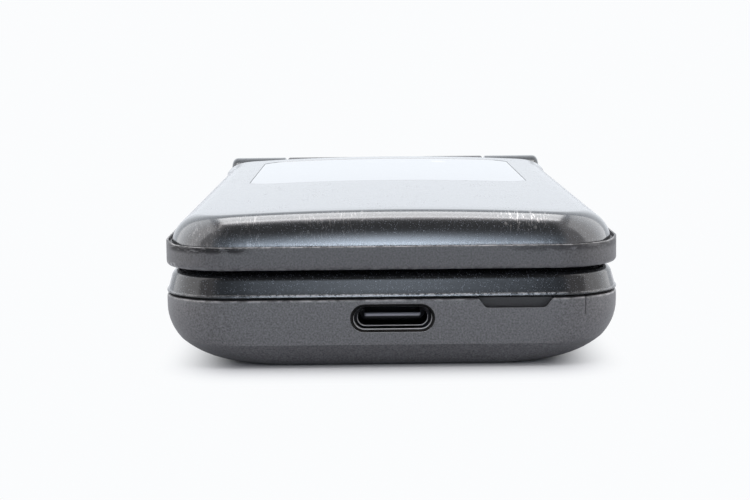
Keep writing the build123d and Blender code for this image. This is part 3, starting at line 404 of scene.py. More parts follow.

# %% [markdown]
# The lid cover and the upper half of the base are glossy with a metallic flake under a clear coat. As
# small meshes the flakes would be far too many, so the cells of a Voronoi texture stand for them, and
# a few of the cells are painted light as glints, for flakes that catch the light. Fine scratches dull
# the coat, most of all on the right of the lid's front crest. Everything else gets a plain finish,
# which is a colour with a little grain.

# %% Glossy flake and plain finishes
FLAKE_SIZE = 0.00007
FLAKE_GLINT_COLOUR = (0.18, 0.20, 0.235)
# The light grey of the glossy rim, which is rubbed and also painted light as a highlight.
RUBBED_AND_SHEEN_GREY = (0.42, 0.43, 0.45)
COAT_ROUGHNESS = 0.12
# Where the crest is scuffed and where the rim's wear and painted highlight fade, in metres, in the same way
# as the dark streaks.
CREST_SCUFFS = ((0.0115, 0.0145), (0.0195, 0.017))
CREST_FRONT_Y, CREST_FRONT_Z = (-0.044, -0.049), (0.0158, 0.0168)
SHEEN_FADE_SIDES, SHEEN_FADE_LEFT = (0.0215, 0.0180), (-0.0225, -0.0080)


def scratches(point, parts, amount):
    """Slanting scratches: noise drawn out along one direction, kept in broad patches of noise and on
    the right of the front crest."""
    streak = noise(drawn_out(point, (1.0, 0.10, 0.25), 0.35), 0.00018, 2.0, 0.6)
    on_crest = times(rise_and_fall(parts[0], *CREST_SCUFFS),
                     ramp(parts[1], *CREST_FRONT_Y), ramp(parts[2], *CREST_FRONT_Z))
    patch = times(ramp(noise(point, 0.006), 0.50, 0.62), 0.5)
    return times(ramp(streak, 0.56, 0.64), rescale(on_crest, 1.6, patch), amount)


def flake_gloss(name, colour, coat, scuffs):
    """Glossy plastic with a metallic flake. Each Voronoi cell is a flake with its own brightness, and a
    few are painted bright as glints. These painted glints and the rim, which is rubbed and painted light
    as a highlight, are less metallic and rougher than the rest. The rim's wear and painted highlight fade
    towards the corners and the left."""
    material, shader, point, parts = new_material(name)
    cells = add_node(point.id_data, "TexVoronoi", Vector=point, Scale=1 / FLAKE_SIZE)
    tint = add_node(point.id_data, "SeparateColor", i0=cells.outputs["Color"]).outputs
    broad = noise(point, 0.015)
    # Painted glints: a few flake cells get a lighter, less metallic colour, which stands for flakes catching
    # the light.
    glinting_flakes = times(ramp(tint[0], 0.92, 1.0), rescale(broad, 0.5, 0.4), clamp=True)
    # The rim is lighter, as wear and a painted highlight, fading towards the corners and the left.
    off_middle = math_node("ABSOLUTE", parts[0])
    kept = math_node("MINIMUM", ramp(off_middle, *SHEEN_FADE_SIDES), ramp(parts[0], *SHEEN_FADE_LEFT))
    rubbed_and_sheen = times(rubbed_share(noise(point, 0.0004, 3.0, 0.7), 0.35, 0.60), rescale(kept, 0.7, 0.3))
    scratch = scratches(point, parts, scuffs)
    metal = mottled(colour, tint[1], broad, 0.22, 0.1)
    base = blend_colours(glinting_flakes, metal, FLAKE_GLINT_COLOUR)
    base = blend_colours(times(scratch, 0.6, clamp=True), base, WORN_AND_SHEEN_GREY)
    dull = math_node("MAXIMUM", times(glinting_flakes, 0.7), rubbed_and_sheen)
    lift = rescale(noise(point, 0.0006), 0.15, scratch)
    set_inputs(shader, Base_Color=blend_colours(rubbed_and_sheen, base, RUBBED_AND_SHEEN_GREY),
               Metallic=math_node("SUBTRACT", 0.8, dull, clamp=True),
               Roughness=rescale(dull, 0.25, 0.20), Coat_Weight=coat, Coat_IOR=1.5,
               Coat_Roughness=rescale(scratch, 0.4, COAT_ROUGHNESS),
               Coat_Normal=bumps(lift, 0.12))
    return material


def plain_finish(name, colour, roughness=0.5, metallic=0.0, grain=0.0004, bump=0.15, **extra):
    """A colour with grain and cloudy patches, and the same grain in roughness and bump."""
    material, shader, point, _ = new_material(name)
    fine = noise(point, grain, 3.0, 0.6)
    set_inputs(shader, Base_Color=mottled(colour, fine, noise(point, 0.006), 0.2, 0.1),
               Roughness=rescale(fine, 0.2, roughness - 0.1), Metallic=metallic,
               Normal=bumps(fine, bump), **extra)
    return material


lid_gloss = flake_gloss("lid_gloss", (0.072, 0.077, 0.084), coat=0.8, scuffs=1.0)
base_gloss = flake_gloss("base_gloss", (0.026, 0.028, 0.031), coat=0.5, scuffs=0.1)
print("glossy finishes ready")

# %% [markdown]
# The phone's outline from above is a rectangle with round corners. Most of its shells are that
# outline, drawn at many heights and drawn in by a varying inset. Outlines could be Blender's curves,
# but as arrays of points they can be added, blended and measured. So the first helpers give such
# arrays, in millimetres: this outline, slots, circles and rolled edges.

# %% Outlines
AXIS_ORDER = {"x": (2, 0, 1), "y": (0, 2, 1), "z": (0, 1, 2)}


def arc_points(start, end, count):
    """Points on a circle of radius 1, from one angle to another in degrees."""
    angle = np.radians(np.linspace(start, end, count))
    return np.column_stack((np.cos(angle), np.sin(angle)))


def circle_points(steps):
    """Points all round a circle of radius 1."""
    return arc_points(0, 360, steps + 1)[:-1]


def outline(half_x, front, rear, front_radius, rear_radius=None, corner_steps=14, side_steps=14):
    """A closed outline, anticlockwise from above: four quarter circles joined by evenly divided sides."""
    rear_radius = front_radius if rear_radius is None else rear_radius
    centres = ((half_x - rear_radius, rear - rear_radius, rear_radius),
               (rear_radius - half_x, rear - rear_radius, rear_radius),
               (front_radius - half_x, front + front_radius, front_radius),
               (half_x - front_radius, front + front_radius, front_radius))
    arcs = [radius * arc_points(quarter * 90, quarter * 90 + 90, corner_steps + 1) + (x, y)
            for quarter, (x, y, radius) in enumerate(centres)]
    share = np.linspace(0, 1, side_steps + 1)[1:-1, None]
    sides = []
    for arc, following in zip(arcs, arcs[1:] + arcs[:1]):
        sides += [arc, arc[-1] * (1 - share) + following[0] * share]
    return np.vstack(sides)


def box_points(low_x, high_x, low_y, high_y):
    """The four corners of a rectangle, anticlockwise."""
    return [(low_x, low_y), (high_x, low_y), (high_x, high_y), (low_x, high_y)]


def round_rectangle(width, height, radius, centre=(0, 0)):
    """A rectangle with round corners, as points round its centre."""
    return outline(width / 2, -height / 2, height / 2, radius, None, 6, 1) + centre


def slot_points(width, height, centre, steps=12):
    """A slot with round ends, as points round its centre."""
    radius = height / 2
    right_end = radius * arc_points(-90, 90, steps + 1) + (width / 2 - radius, 0)
    return np.vstack((right_end, -right_end)) + centre


def roll(radius, steps, quarters=1.0):
    """A rolled edge, as steps of inset and drop: the inset is radius * (1 - cos a) and the drop below
    the top is radius * (1 - sin a), with the angle a running from 0 over some quarters of a turn."""
    return [(radius * (1 - math.cos(a)), radius * (1 - math.sin(a)))
            for a in np.linspace(0, math.pi / 2 * quarters, steps)]


def at_height(points, height):
    """Lifts an outline to a height, which is one number or one for each point."""
    return np.column_stack((points, np.broadcast_to(height, len(points))))


def across(points, axis, place):
    """An outline of (y, z), (x, z) or (x, y), set across the x, y or z axis at a place on it."""
    return at_height(np.asarray(points, float), place)[:, AXIS_ORDER[axis]]


HALF_WIDTH = box_mm("base_housing")[1][0]
TONGUE_Z = box_mm("base_housing")[0][2]
HALF_LENGTH, COVER_TOP = box_mm("rear_cover")[1][1:]
LID_TOP = box_mm("lid_cover")[1][2]
print("half width", HALF_WIDTH, "half length", HALF_LENGTH, "lid top", LID_TOP)

# %% [markdown]
# A stack of such rings is joined by quads into a skin, which is how every shell below is made. Bars and
# turned bodies are skins too. Openings are cut with a Boolean, because they cross many rings at once.
# The last helper makes a mesh into a piece of the phone: it gives it a body to ride on and the CAD
# nodes that it stands for.

# %% Meshes and pieces
SHARP_ANGLE = 32.0


def skin_faces(rows, around_rows):
    """Joins a stack of closed rings by quads, and closes its ends, unless it runs round to its start.
    Rings that run anticlockwise and rise make faces that point outwards."""
    count, length, _ = rows.shape
    index = np.arange(count * length).reshape(count, length)
    low = index if around_rows else index[:-1]
    high = np.roll(index, -1, axis=0) if around_rows else index[1:]
    quads = np.stack((low, np.roll(low, -1, 1), np.roll(high, -1, 1), high), -1).reshape(-1, 4)
    ends = [] if around_rows else [index[0][::-1].tolist(), index[-1].tolist()]
    return quads.tolist() + ends


def make_mesh(name, points, faces, sharp_angle=SHARP_ANGLE, wear_and_sheen=None):
    """A mesh from points in millimetres. Edges sharper than an angle stay sharp, and the rest is smooth."""
    mesh = bpy.data.meshes.new(name)
    mesh.from_pydata((np.asarray(points, float).reshape(-1, 3) * MM).tolist(), [], faces)
    if wear_and_sheen is not None:
        layer = mesh.attributes.new("wear_and_sheen", "FLOAT", "POINT")
        layer.data.foreach_set("value", np.asarray(wear_and_sheen, np.float32).ravel())
    mesh.update()
    mesh.shade_smooth()
    mesh.set_sharp_from_angle(angle=math.radians(sharp_angle))
    return mesh


def skin(name, rows, around_rows=False, sharp_angle=SHARP_ANGLE, wear_and_sheen=None):
    """A mesh of a stack of rings. Wear and sheen, which marks the rims' wear and painted highlight, is one
    number for each ring.
    """
    rows = np.asarray(rows, float)
    spread = None if wear_and_sheen is None else np.repeat(np.asarray(wear_and_sheen, float), rows.shape[1])
    return make_mesh(name, rows, skin_faces(rows, around_rows), sharp_angle, spread)


def wear_from(rows, first, values):
    """The wear and painted sheen of each row: the values from the first row named on, and 0 elsewhere."""
    wear_and_sheen = np.zeros(len(rows))
    wear_and_sheen[first:first + len(values)] = values
    return wear_and_sheen


def outward(mesh):
    """The mesh with its faces turned over if they point inwards."""
    form = bmesh.new()
    form.from_mesh(mesh)
    if form.calc_volume(signed=True) < 0:
        mesh.flip_normals()
    form.free()
    return mesh


def prism(points, axis, start, end):
    """A closed bar of one cross-section, which runs along an axis from start to end."""
    return outward(skin("prism", [across(points, axis, place) for place in (start, end)]))


def turned(profile, axis, centre, steps=96, closed=False):
    """A body turned round an axis through a centre, from a profile of (radius, place on the axis)."""
    rows = [across(circle_points(steps) * radius + centre, axis, place) for radius, place in profile]
    return skin("turned", rows, around_rows=closed)


def join_meshes(name, meshes):
    """One mesh from several, with their points, faces and wear and sheen kept."""
    points, faces, wear_and_sheen = [], [], []
    first = 0
    for mesh in meshes:
        count = len(mesh.vertices)
        flat = np.empty(count * 3, np.float32)
        mesh.vertices.foreach_get("co", flat)
        points.append(flat.reshape(-1, 3) / MM)
        faces += [[first + v for v in face.vertices] for face in mesh.polygons]
        layer = mesh.attributes.get("wear_and_sheen")
        values = np.zeros(count, np.float32)
        if layer:
            layer.data.foreach_get("value", values)
        wear_and_sheen.append(values)
        first += count
        bpy.data.meshes.remove(mesh)
    return make_mesh(name, np.vstack(points), faces, wear_and_sheen=np.concatenate(wear_and_sheen))


def carve(mesh, cutters):
    """The mesh with the cutters' space cut out of it."""
    tool = add_object("cutters", join_meshes("cutters", cutters))
    body = add_object("carved", mesh)
    cut = body.modifiers.new("cut", "BOOLEAN")
    cut.operation = "DIFFERENCE"
    cut.solver = "EXACT"
    cut.use_self = True
    cut.object = tool
    shaped = body.evaluated_get(bpy.context.evaluated_depsgraph_get())
    carved = bpy.data.meshes.new_from_object(shaped)
    carved.shade_smooth()
    carved.set_sharp_from_angle(angle=math.radians(SHARP_ANGLE))
    for made in (tool, body):
        bpy.data.objects.remove(made)
    return carved


def piece(name, mesh, body, materials, slot, *replaced):
    """A piece of the phone that rides on a body, with its finishes, in place of the CAD nodes named."""
    made = add_object(name, mesh)
    for material in materials:
        mesh.materials.append(material)
    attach(made, body)
    if replaced:
        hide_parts(*replaced)
    print(name, "has", len(mesh.polygons), "faces")


print("mesh helpers ready")

# %% [markdown]
# The rear cover is a moulded bowl. Seen from the port its long sides sweep up softly from the flat
# underside, while its ends turn up within three millimetres. A box with a Bevel would turn up in the
# same way all round. Here both curves are quarter ellipses, so the bowl is a skin, and each of its
# rings has its own inset at the sides and at the ends.

# %% Rear cover
PLAN_CORNER = 8.3
COVER_WALL, COVER_FLOOR = 1.0, 1.2
SIDE_SWEEP, SIDE_RISE = 8.5, 6.8
END_SWEEP, END_RISE = 3.0, 2.8
END_CREASE = 0.75
COVER_EDGE = 0.24
COVER_RIM = COVER_TOP - 0.08


def plan_ring(inset, height):
    """The base's outline, taken in by an inset, at a height."""
    reach = HALF_LENGTH - inset
    return at_height(outline(HALF_WIDTH - inset, -reach, reach, PLAN_CORNER - inset), height)


def bowl_rings(wall, floor, count):
    """Rings of the bowl taken in by a wall, from its floor up to where its sides stand upright. At an
    angle a the height is floor + (rise - floor) * (1 - cos a), and the sides' inset is
    wall + (sweep - wall) * (1 - sin a). With b the share of the ends' rise that is still above a ring,
    the ends' inset is wall + (sweep - wall) * (1 - sqrt(1 - b * b) + crease * b * (1 - b)). The rings
    stand close together at the knee, where the ends have come upright."""
    rings = []
    knee = math.acos(1 - (END_RISE - floor) / (SIDE_RISE - floor))
    low_count = count * 3 // 5
    angles = np.concatenate((np.linspace(0, knee * 0.94, low_count - 1), (knee * 0.992, knee),
                             np.linspace(knee * 1.02, math.pi / 2, count - low_count - 1)))
    for angle in angles:
        height = floor + (SIDE_RISE - floor) * (1 - math.cos(angle))
        side = wall + (SIDE_SWEEP - wall) * (1 - math.sin(angle))
        below = min(1.0, max(0.0, (END_RISE - height) / (END_RISE - floor)))
        round_share = 1 - math.sqrt(1 - below ** 2)
        end = wall + (END_SWEEP - wall) * (round_share + END_CREASE * below * (1 - below))
        reach = HALF_LENGTH - end
        rings.append(at_height(outline(HALF_WIDTH - side, -reach, reach, PLAN_CORNER - wall), height))
    return rings


cover_rows = bowl_rings(0.0, 0.0, 22) + [plan_ring(0.0, COVER_RIM - COVER_EDGE - 0.12)]
rim_row = len(cover_rows)
cover_rows += [plan_ring(inset, COVER_RIM - drop) for inset, drop in roll(COVER_EDGE, 5)]
cover_rows += [plan_ring(COVER_WALL, COVER_RIM)] + bowl_rings(COVER_WALL, COVER_FLOOR, 14)[::-1]
# The cover's rim is marked lighter, as wear and a painted highlight.
cover_wear_and_sheen = wear_from(cover_rows, rim_row, (0.3, 0.9, 1.0, 0.5))
cover_mesh = skin("rear_cover", cover_rows, wear_and_sheen=cover_wear_and_sheen)
print("rear cover of", len(cover_rows), "rings")

# %% [markdown]
# The cover's openings are cut out next: the port's mouth with its bevel, the pry notch, which is a
# blind recess in the rim, the hairline slit beside it, the side keys' notches, the jack hole and the
# sound slots. Bars of each opening's shape do the cutting, as the cores of a moulding tool would.
# The notch's inside is painted duller and darker than the shell round it, as painted shade in the recess.

# %% Openings of the rear cover
CUT_FRONT, CUT_REACH = -HALF_LENGTH - 1.0, -HALF_LENGTH + 3.0
PORT_Z = COVER_TOP - 2.34
PORT_WIDTH, PORT_HEIGHT, PORT_BEVEL = 10.1, 3.42, 0.3
NOTCH_X, NOTCH_WIDTH, NOTCH_FOOT, NOTCH_DEPTH, NOTCH_ROUND = 14.6, 9.0, 7.9, 1.2, 0.75
NOTCH_REACH = 0.85
HAIRLINE_X, HAIRLINE_WIDTH, HAIRLINE_DEPTH = 23.0, 0.09, 2.2
SIDE_KEYS = ((-1, "volume_rocker"), (1, "side_key"))
SIDE_NOTCH_Z, SIDE_FLANGE, SIDE_ROOM = 6.4, 0.4, 0.2
JACK_PLACE, JACK_RADIUS, JACK_DEPTH = (38.4, 5.15), 2.6, 3.5
SOUND_SLOT, SOUND_SLOTS, SOUND_PITCH, SOUND_PLACE = (8.0, 1.0), 5, 2.2, (0.5, 37.4)


def port_ring(inset, y, steps=12):
    """The port's outline, drawn in by an inset, at a place along the phone."""
    points = slot_points(PORT_WIDTH - 2 * inset, PORT_HEIGHT - 2 * inset, (0, PORT_Z), steps)
    return across(points, "y", y)


def port_cutter():
    """A bar through the port's mouth that narrows over the bevel."""
    return outward(skin("port", [port_ring(0, CUT_FRONT), port_ring(0, -HALF_LENGTH),
                                 port_ring(PORT_BEVEL, -HALF_LENGTH + PORT_BEVEL),
                                 port_ring(PORT_BEVEL, CUT_REACH)]))


def notch_cutter():
    """The pry notch: wider at the rim than at its foot, with round lower corners."""
    left = [(NOTCH_X - NOTCH_WIDTH / 2 - 0.1, COVER_TOP + 0.1)]
    foot = (NOTCH_X - NOTCH_FOOT / 2, COVER_TOP - NOTCH_DEPTH)
    left += (NOTCH_ROUND * (1 + arc_points(200, 270, 7)) + foot).tolist()
    right = [(2 * NOTCH_X - x, z) for x, z in left[::-1]]
    return prism(left + right, "y", CUT_FRONT, NOTCH_REACH - HALF_LENGTH)


def hairline_cutter():
    """The hairline slit that runs down from the rim."""
    half = HAIRLINE_WIDTH / 2
    points = box_points(HAIRLINE_X - half, HAIRLINE_X + half, COVER_TOP - HAIRLINE_DEPTH, COVER_TOP + 1)
    return prism(points, "y", CUT_FRONT, CUT_REACH)


def side_notch_cutter(side, node):
    """The notch of a side key, a little longer than the key."""
    low, high = box_mm(node)
    reach = (high[1] - low[1]) / 2 - SIDE_FLANGE + SIDE_ROOM
    middle = (high[1] + low[1]) / 2
    points = box_points(side * (HALF_WIDTH - 2), side * (HALF_WIDTH + 2), middle - reach, middle + reach)
    return prism(points, "z", SIDE_NOTCH_Z, COVER_TOP + 1)


def sound_cutter(index):
    """One of the slots under the loudspeaker, which lie side by side across the phone."""
    shift = ((index - (SOUND_SLOTS - 1) / 2) * SOUND_PITCH, 0.0)
    points = slot_points(*SOUND_SLOT, (0, 0))[:, ::-1] + np.add(SOUND_PLACE, shift)
    return prism(points, "z", -1.0, COVER_FLOOR + 1)


cutters = [port_cutter(), notch_cutter(), hairline_cutter()]
cutters += [side_notch_cutter(side, node) for side, node in SIDE_KEYS]
jack_hole = circle_points(32) * JACK_RADIUS + JACK_PLACE
cutters += [prism(jack_hole, "x", -HALF_WIDTH - 1, -HALF_WIDTH + JACK_DEPTH)]
cutters += [sound_cutter(index) for index in range(SOUND_SLOTS)]
cover_mesh = carve(cover_mesh, cutters)
# Painted shade: the faces inside the pry notch get the darker notch finish.
for face in cover_mesh.polygons:
    x, y, z = face.center / MM
    in_notch = abs(x - NOTCH_X) < NOTCH_WIDTH / 2 + 0.2 and 0.1 < y + HALF_LENGTH < NOTCH_REACH + 0.05
    face.material_index = int(in_notch and z > COVER_TOP - NOTCH_DEPTH - 0.02)
piece("shell_rear_cover", cover_mesh, "cover", (satin_grey, notch_painted_shade), "satin_shell", "rear_cover")

# %% [markdown]
# The port's mouth is lined in black: a thin ring covers its bevel and runs back to the metal shell.
# Its near-black is partly the black plastic and partly painted shade in the mouth. On the real object
# the edges of the lining and of the shell behind it are smooth, and their lower halves catch the light
# as thin lines. Stripes in a material could stand for them, but a real edge is light only where it
# faces the light. So they are three thin rounded rings of light grey, each thicker below, which are
# painted highlights.

# %% Port lining and its light edges
# Each pair is an inset of the port's outline and a depth behind the phone's front.
LINING_PROFILE = [(-0.02, 0.12), (0.0, 0.01), (0.05, 0.01), (0.14, 0.07), (0.30, 0.24), (0.36, 0.40),
                  (0.40, 0.55), (0.42, 1.25), (-0.05, 1.25), (-0.05, 0.40)]
# Each light edge has a width, a height, a depth behind the front and a radius.
LIGHT_EDGES = [(10.06, 3.38, 0.075, 0.07), (9.30, 2.66, 0.34, 0.065), (8.40, 2.00, 1.0, 0.06)]


def light_edge(width, height, depth, radius):
    """A thin ring round the port, eight-sided in section. It is whole along the port's lower edge and
    shrinks to a fiftieth of its thickness above the middle."""
    line = slot_points(width, height, (0, PORT_Z), 16)
    share = np.clip(0.4 - (line[:, 1] - PORT_Z) / height * 1.6, 0.02, 1.0)
    rows = []
    for out, back in circle_points(8) * radius:
        grown = slot_points(width + 2 * out, height + 2 * out, (0, PORT_Z), 16)
        rows.append(across(line + (grown - line) * share[:, None], "y", depth - HALF_LENGTH + back * share))
    return outward(skin("light_edge", rows, around_rows=True))


# The lining's near-black is partly black plastic and partly painted shade in the port's mouth.
port_black_and_shade = plain_finish("port_black_and_shade", (0.004, 0.004, 0.004), 0.5, bump=0.05, Specular_IOR_Level=0.15)
# Painted highlights: the light edges are a light grey, for the lines of light along the port's lower edges.
edge_painted_highlight = plain_finish("port_edge_painted_highlight", (0.52, 0.52, 0.53), 0.35, 0.2)
lining_rows = [port_ring(inset, depth - HALF_LENGTH, 16) for inset, depth in LINING_PROFILE]
lining_mesh = outward(skin("port_lining", lining_rows, around_rows=True, sharp_angle=60))
piece("port_lining", lining_mesh, "cover", [port_black_and_shade], "black_plastic")
edges_mesh = join_meshes("port_edges", [light_edge(*edge) for edge in LIGHT_EDGES])
piece("port_edges", edges_mesh, "cover", [edge_painted_highlight], "steel")

# %% [markdown]
# The upper half of the base is glossy. From its rim line a steep bevel leans in and then rolls over
# into the deck. A Bevel on a box has one curve, and this edge has three, so its profile is written out
# and carried round the outline. The deck has an opening for every key and a round one for the ring. At
# the hinge it is cut away, and an ear stands at each side.

# %% Base housing
RIM_Z = TONGUE_Z + 0.7
DECK_Z, DECK_UNDER = 11.4, 10.6
RIM_LAND = 0.35
HOUSING_WALL = 1.9
TONGUE_OUT, TONGUE_IN = 1.15, 2.15
BEVEL_LEAN = math.tan(math.radians(16.0)) * 0.97
ROLL_KNEE, ROLL_END = (0.72, 2.62), (1.75, DECK_Z - RIM_Z)
HINGE_Y, HINGE_Z, HINGE_RADIUS = 48.2, 13.3, 4.8
CRADLE_RADIUS = 5.1
EAR_INNER = 17.2
KEY_FLANGE, KEY_GAP, OPENING_CORNER = 0.35, 0.15, 1.35
RING_RADIUS = 11.4
MIC_PLACE, MIC_RADIUS = (0, -48.6), 0.5
KEY_NAMES = [f"key_{name}" for name in (*range(10), "star", "hash")]
KEY_NAMES += ["call_key", "clear_key", "end_key", "soft_key_left", "soft_key_right", "message_key",
              "camera_key"]


def bend(start, knee, end, steps):
    """Points on the curve from start to end that is drawn towards the knee, without its start. At a
    share s a point is (1 - s) squared of the start, 2 * s * (1 - s) of the knee and s squared of the
    end."""
    return [tuple((1 - s) ** 2 * a + 2 * s * (1 - s) * b + s ** 2 * c for a, b, c in zip(start, knee, end))
            for s in np.linspace(0, 1, steps + 1)[1:]]


def plan_box(node):
    """The centre and the size of a CAD node, seen from above."""
    low, high = box_mm(node)
    return (low[:2] + high[:2]) / 2, high[:2] - low[:2]


def deck_opening(points):
    """A bar through the deck."""
    return prism(points, "z", DECK_UNDER - 0.5, DECK_Z + 0.5)


def side_pocket(side, node):
    """The room for a side key's flange in the housing's tongue."""
    low, high = box_mm(node)
    points = box_points(side * (HALF_WIDTH - 3.0), side * (HALF_WIDTH - 0.9), low[1], high[1])
    return prism(points, "z", TONGUE_Z - 1, RIM_Z)


bevel = [(0.0, 0.04), (0.0, 0.24), (0.04, 0.32), (0.11, RIM_LAND), (0.17, 0.37), (0.20, 0.46)]
bevel += [(0.20 + (z - 0.46) * BEVEL_LEAN, z) for z in (0.9, 1.4, 1.9)]
bevel += bend(bevel[-1], ROLL_KNEE, ROLL_END, 8)
tongue = [(TONGUE_IN, TONGUE_Z), (TONGUE_OUT + 0.1, TONGUE_Z), (TONGUE_OUT, TONGUE_Z + 0.1),
          (TONGUE_OUT, RIM_Z), (0.06, RIM_Z)]
inner = [(TONGUE_IN, TONGUE_Z - 0.5), (TONGUE_IN, RIM_Z), (HOUSING_WALL, RIM_Z), (HOUSING_WALL, DECK_UNDER)]
housing_rows = [plan_ring(*step) for step in tongue + [(inset, RIM_Z + z) for inset, z in bevel]]
# The housing's rim line is marked lighter, as wear and a painted highlight.
housing_wear_and_sheen = wear_from(housing_rows, len(tongue), (0.1, 0.7, 1.0, 0.6, 0.1))
hollow = skin("hollow", [plan_ring(*step) for step in inner])
key_places = {}
for name in KEY_NAMES:
    centre, size = plan_box(name)
    key_places[name] = (centre, size - 2 * KEY_FLANGE)
ring_centre, _ = plan_box("nav_ring")
cutters = [hollow]
cutters += [deck_opening(round_rectangle(*(size + 2 * KEY_GAP), OPENING_CORNER, centre))
            for centre, size in key_places.values()]
cutters += [deck_opening(circle_points(96) * (RING_RADIUS + KEY_GAP) + ring_centre)]
cutters += [prism(circle_points(96) * CRADLE_RADIUS + (HINGE_Y, HINGE_Z), "x", -EAR_INNER, EAR_INNER)]
cutters += [side_pocket(side, node) for side, node in SIDE_KEYS]
cutters += [deck_opening(circle_points(16) * MIC_RADIUS + MIC_PLACE)]
cutters += [prism(box_points(-EAR_INNER, EAR_INNER, HINGE_Y + 1.5, 60), "z", RIM_Z + RIM_LAND, 20)]
housing_mesh = carve(skin("housing", housing_rows, wear_and_sheen=housing_wear_and_sheen), cutters)
rim_shadow = plain_finish("rim_underside", (0.014, 0.014, 0.015), 0.6, Specular_IOR_Level=0.3)
for face in housing_mesh.polygons:
    face.material_index = int(face.center.z < (RIM_Z - 0.02) * MM)
piece("shell_base_housing", housing_mesh, "base", (base_gloss, rim_shadow), "gloss_shell", "base_housing")

# %% [markdown]
# Each hinge ear is a round eye whose outer edge is rolled over, and whose foot runs down into the
# housing. A cylinder could be the eye, but the edge rolls over along the foot as well. So the ear is
# one profile across the hinge axis, carried outwards with a shrinking radius.

# %% Hinge ears
EAR_OUTER, EAR_EDGE, EAR_FOOT = 26.4, 0.9, 9.0
BUSH_RADIUS, BUSH_DEPTH = 3.0, 5.0


def ear_outline(shrink):
    """The eye and its foot in the plane across the hinge, drawn in by a shrink."""
    radius = HINGE_RADIUS - shrink
    eye = radius * arc_points(0, 180, 49) + (HINGE_Y, HINGE_Z)
    return np.vstack((eye, [(HINGE_Y - radius, EAR_FOOT), (HINGE_Y + radius, EAR_FOOT)]))


def ear_mesh(side):
    """One ear, from its inner face to its rolled edge."""
    stations = [(EAR_INNER, 0.12), (EAR_INNER + 0.12, 0.0)]
    stations += [(EAR_OUTER - drop, inset) for inset, drop in roll(EAR_EDGE, 9, 0.97)]
    rows = [across(ear_outline(shrink), "x", side * x) for x, shrink in stations]
    return skin("ear", rows if side > 0 else rows[::-1])


bush = circle_points(96) * BUSH_RADIUS + (HINGE_Y, HINGE_Z)
bush_holes = [prism(bush, "x", side * (EAR_INNER - 1), side * (EAR_INNER + BUSH_DEPTH)) for side in (-1, 1)]
ears = carve(join_meshes("hinge_ears", [ear_mesh(-1), ear_mesh(1)]), bush_holes)
piece("shell_hinge_ears", ears, "base", [base_gloss], "gloss_shell", "base_housing")

# %% [markdown]
# The lid's lower part is a satin band. Its lower edge is rounded and a little lighter, as wear and a
# painted highlight, and its upper edge is a narrow ledge that the glossy cover stands on. A thin lip
# runs along the ledge's outer edge, rubbed light by hands and painted light as a highlight. The
# profile is the same all round but for the lip, so it is a stack of rings that runs round to its start.
# At the hinge end the band carries the barrel on a short web.

# %% Lid band and hinge barrel
LID_END, LID_REAR_CORNER = 43.0, 2.5
FRAME_Z, FACE_Z, LEDGE_Z = 11.72, 12.1, 14.5
LEDGE, INNER_REACH = 0.7, 2.6
FRAME_EDGE, LIP_EDGE = 0.55, 0.15
LIP_FRONT, LIP_SIDE = 0.06, 0.40
LIP_BEND_X, LIP_BEND = 25.6, 1.4
BARREL_END, BARREL_EDGE = 16.8, 0.35
WEB_START, WEB_TOP = 38.4, 17.0


def lid_outline(front, side, rear):
    """The lid's outline with its own inset at the front, the sides and the rear."""
    return outline(HALF_WIDTH - side, front - HALF_LENGTH, LID_END - rear, PLAN_CORNER - min(front, side),
                   max(LID_REAR_CORNER - rear, 0.4), 18, 18)


def lid_ring(inset, height, lip=False):
    """The lid's outline, taken in by an inset, at a height. The lip on it is worn low at the front."""
    points = lid_outline(inset, inset, inset)
    if lip:
        at_side = np.clip((np.abs(points[:, 0]) - LIP_BEND_X) / LIP_BEND, 0, 1)
        height = height + LIP_FRONT + (LIP_SIDE - LIP_FRONT) * at_side ** 2
    return at_height(points, height)


band = [(INNER_REACH, FACE_Z + 0.8), (1.25, FACE_Z + 0.8), (1.25, FRAME_Z + 0.1), (1.15, FRAME_Z),
        (FRAME_EDGE + 0.15, FRAME_Z)]
band += [(drop, FRAME_Z + inset) for inset, drop in roll(FRAME_EDGE, 8)]
band += [(0.0, FRAME_Z + 1.2), (0.0, LEDGE_Z - 0.4)]
band_rows = [lid_ring(*step) for step in band]
lip_row = len(band_rows)
band_rows += [lid_ring(inset, LEDGE_Z - drop, lip=True) for inset, drop in roll(LIP_EDGE, 9, 1.6)]
band_rows += [lid_ring(inset, LEDGE_Z - 0.02) for inset in (2 * LIP_EDGE + 0.04, LEDGE + 0.3, INNER_REACH)]
# The band's lower edge and its lip are marked lighter, as wear and a painted highlight.
band_wear_and_sheen = wear_from(band_rows, 3, (0.1, 0.2, 0.25, 0.35, 0.4, 0.35, 0.25, 0.15, 0.05))
band_wear_and_sheen += wear_from(band_rows, lip_row, (0.0, 0.4, 0.9, 1.0, 1.0, 1.0, 0.9, 0.5, 0.1))
band_mesh = skin("band", band_rows, around_rows=True, wear_and_sheen=band_wear_and_sheen)
half_barrel = [(HINGE_RADIUS - inset, BARREL_END - drop) for inset, drop in roll(BARREL_EDGE, 6)]
half_barrel += [(3.05, BARREL_END), (3.02, BARREL_END - 1.5), (3.0, BARREL_END - 8.0)]
whole_barrel = [(radius, -x) for radius, x in half_barrel[::-1]] + half_barrel
barrel = turned(whole_barrel, "x", (HINGE_Y, HINGE_Z), 64)
web = prism(box_points(WEB_START, HINGE_Y, FACE_Z + 0.05, WEB_TOP), "x", -BARREL_END, BARREL_END)
band_mesh = join_meshes("lid_band", [band_mesh, barrel, web])
piece("shell_lid_band", band_mesh, "lid", [satin_band], "satin_shell", "lid_frame")

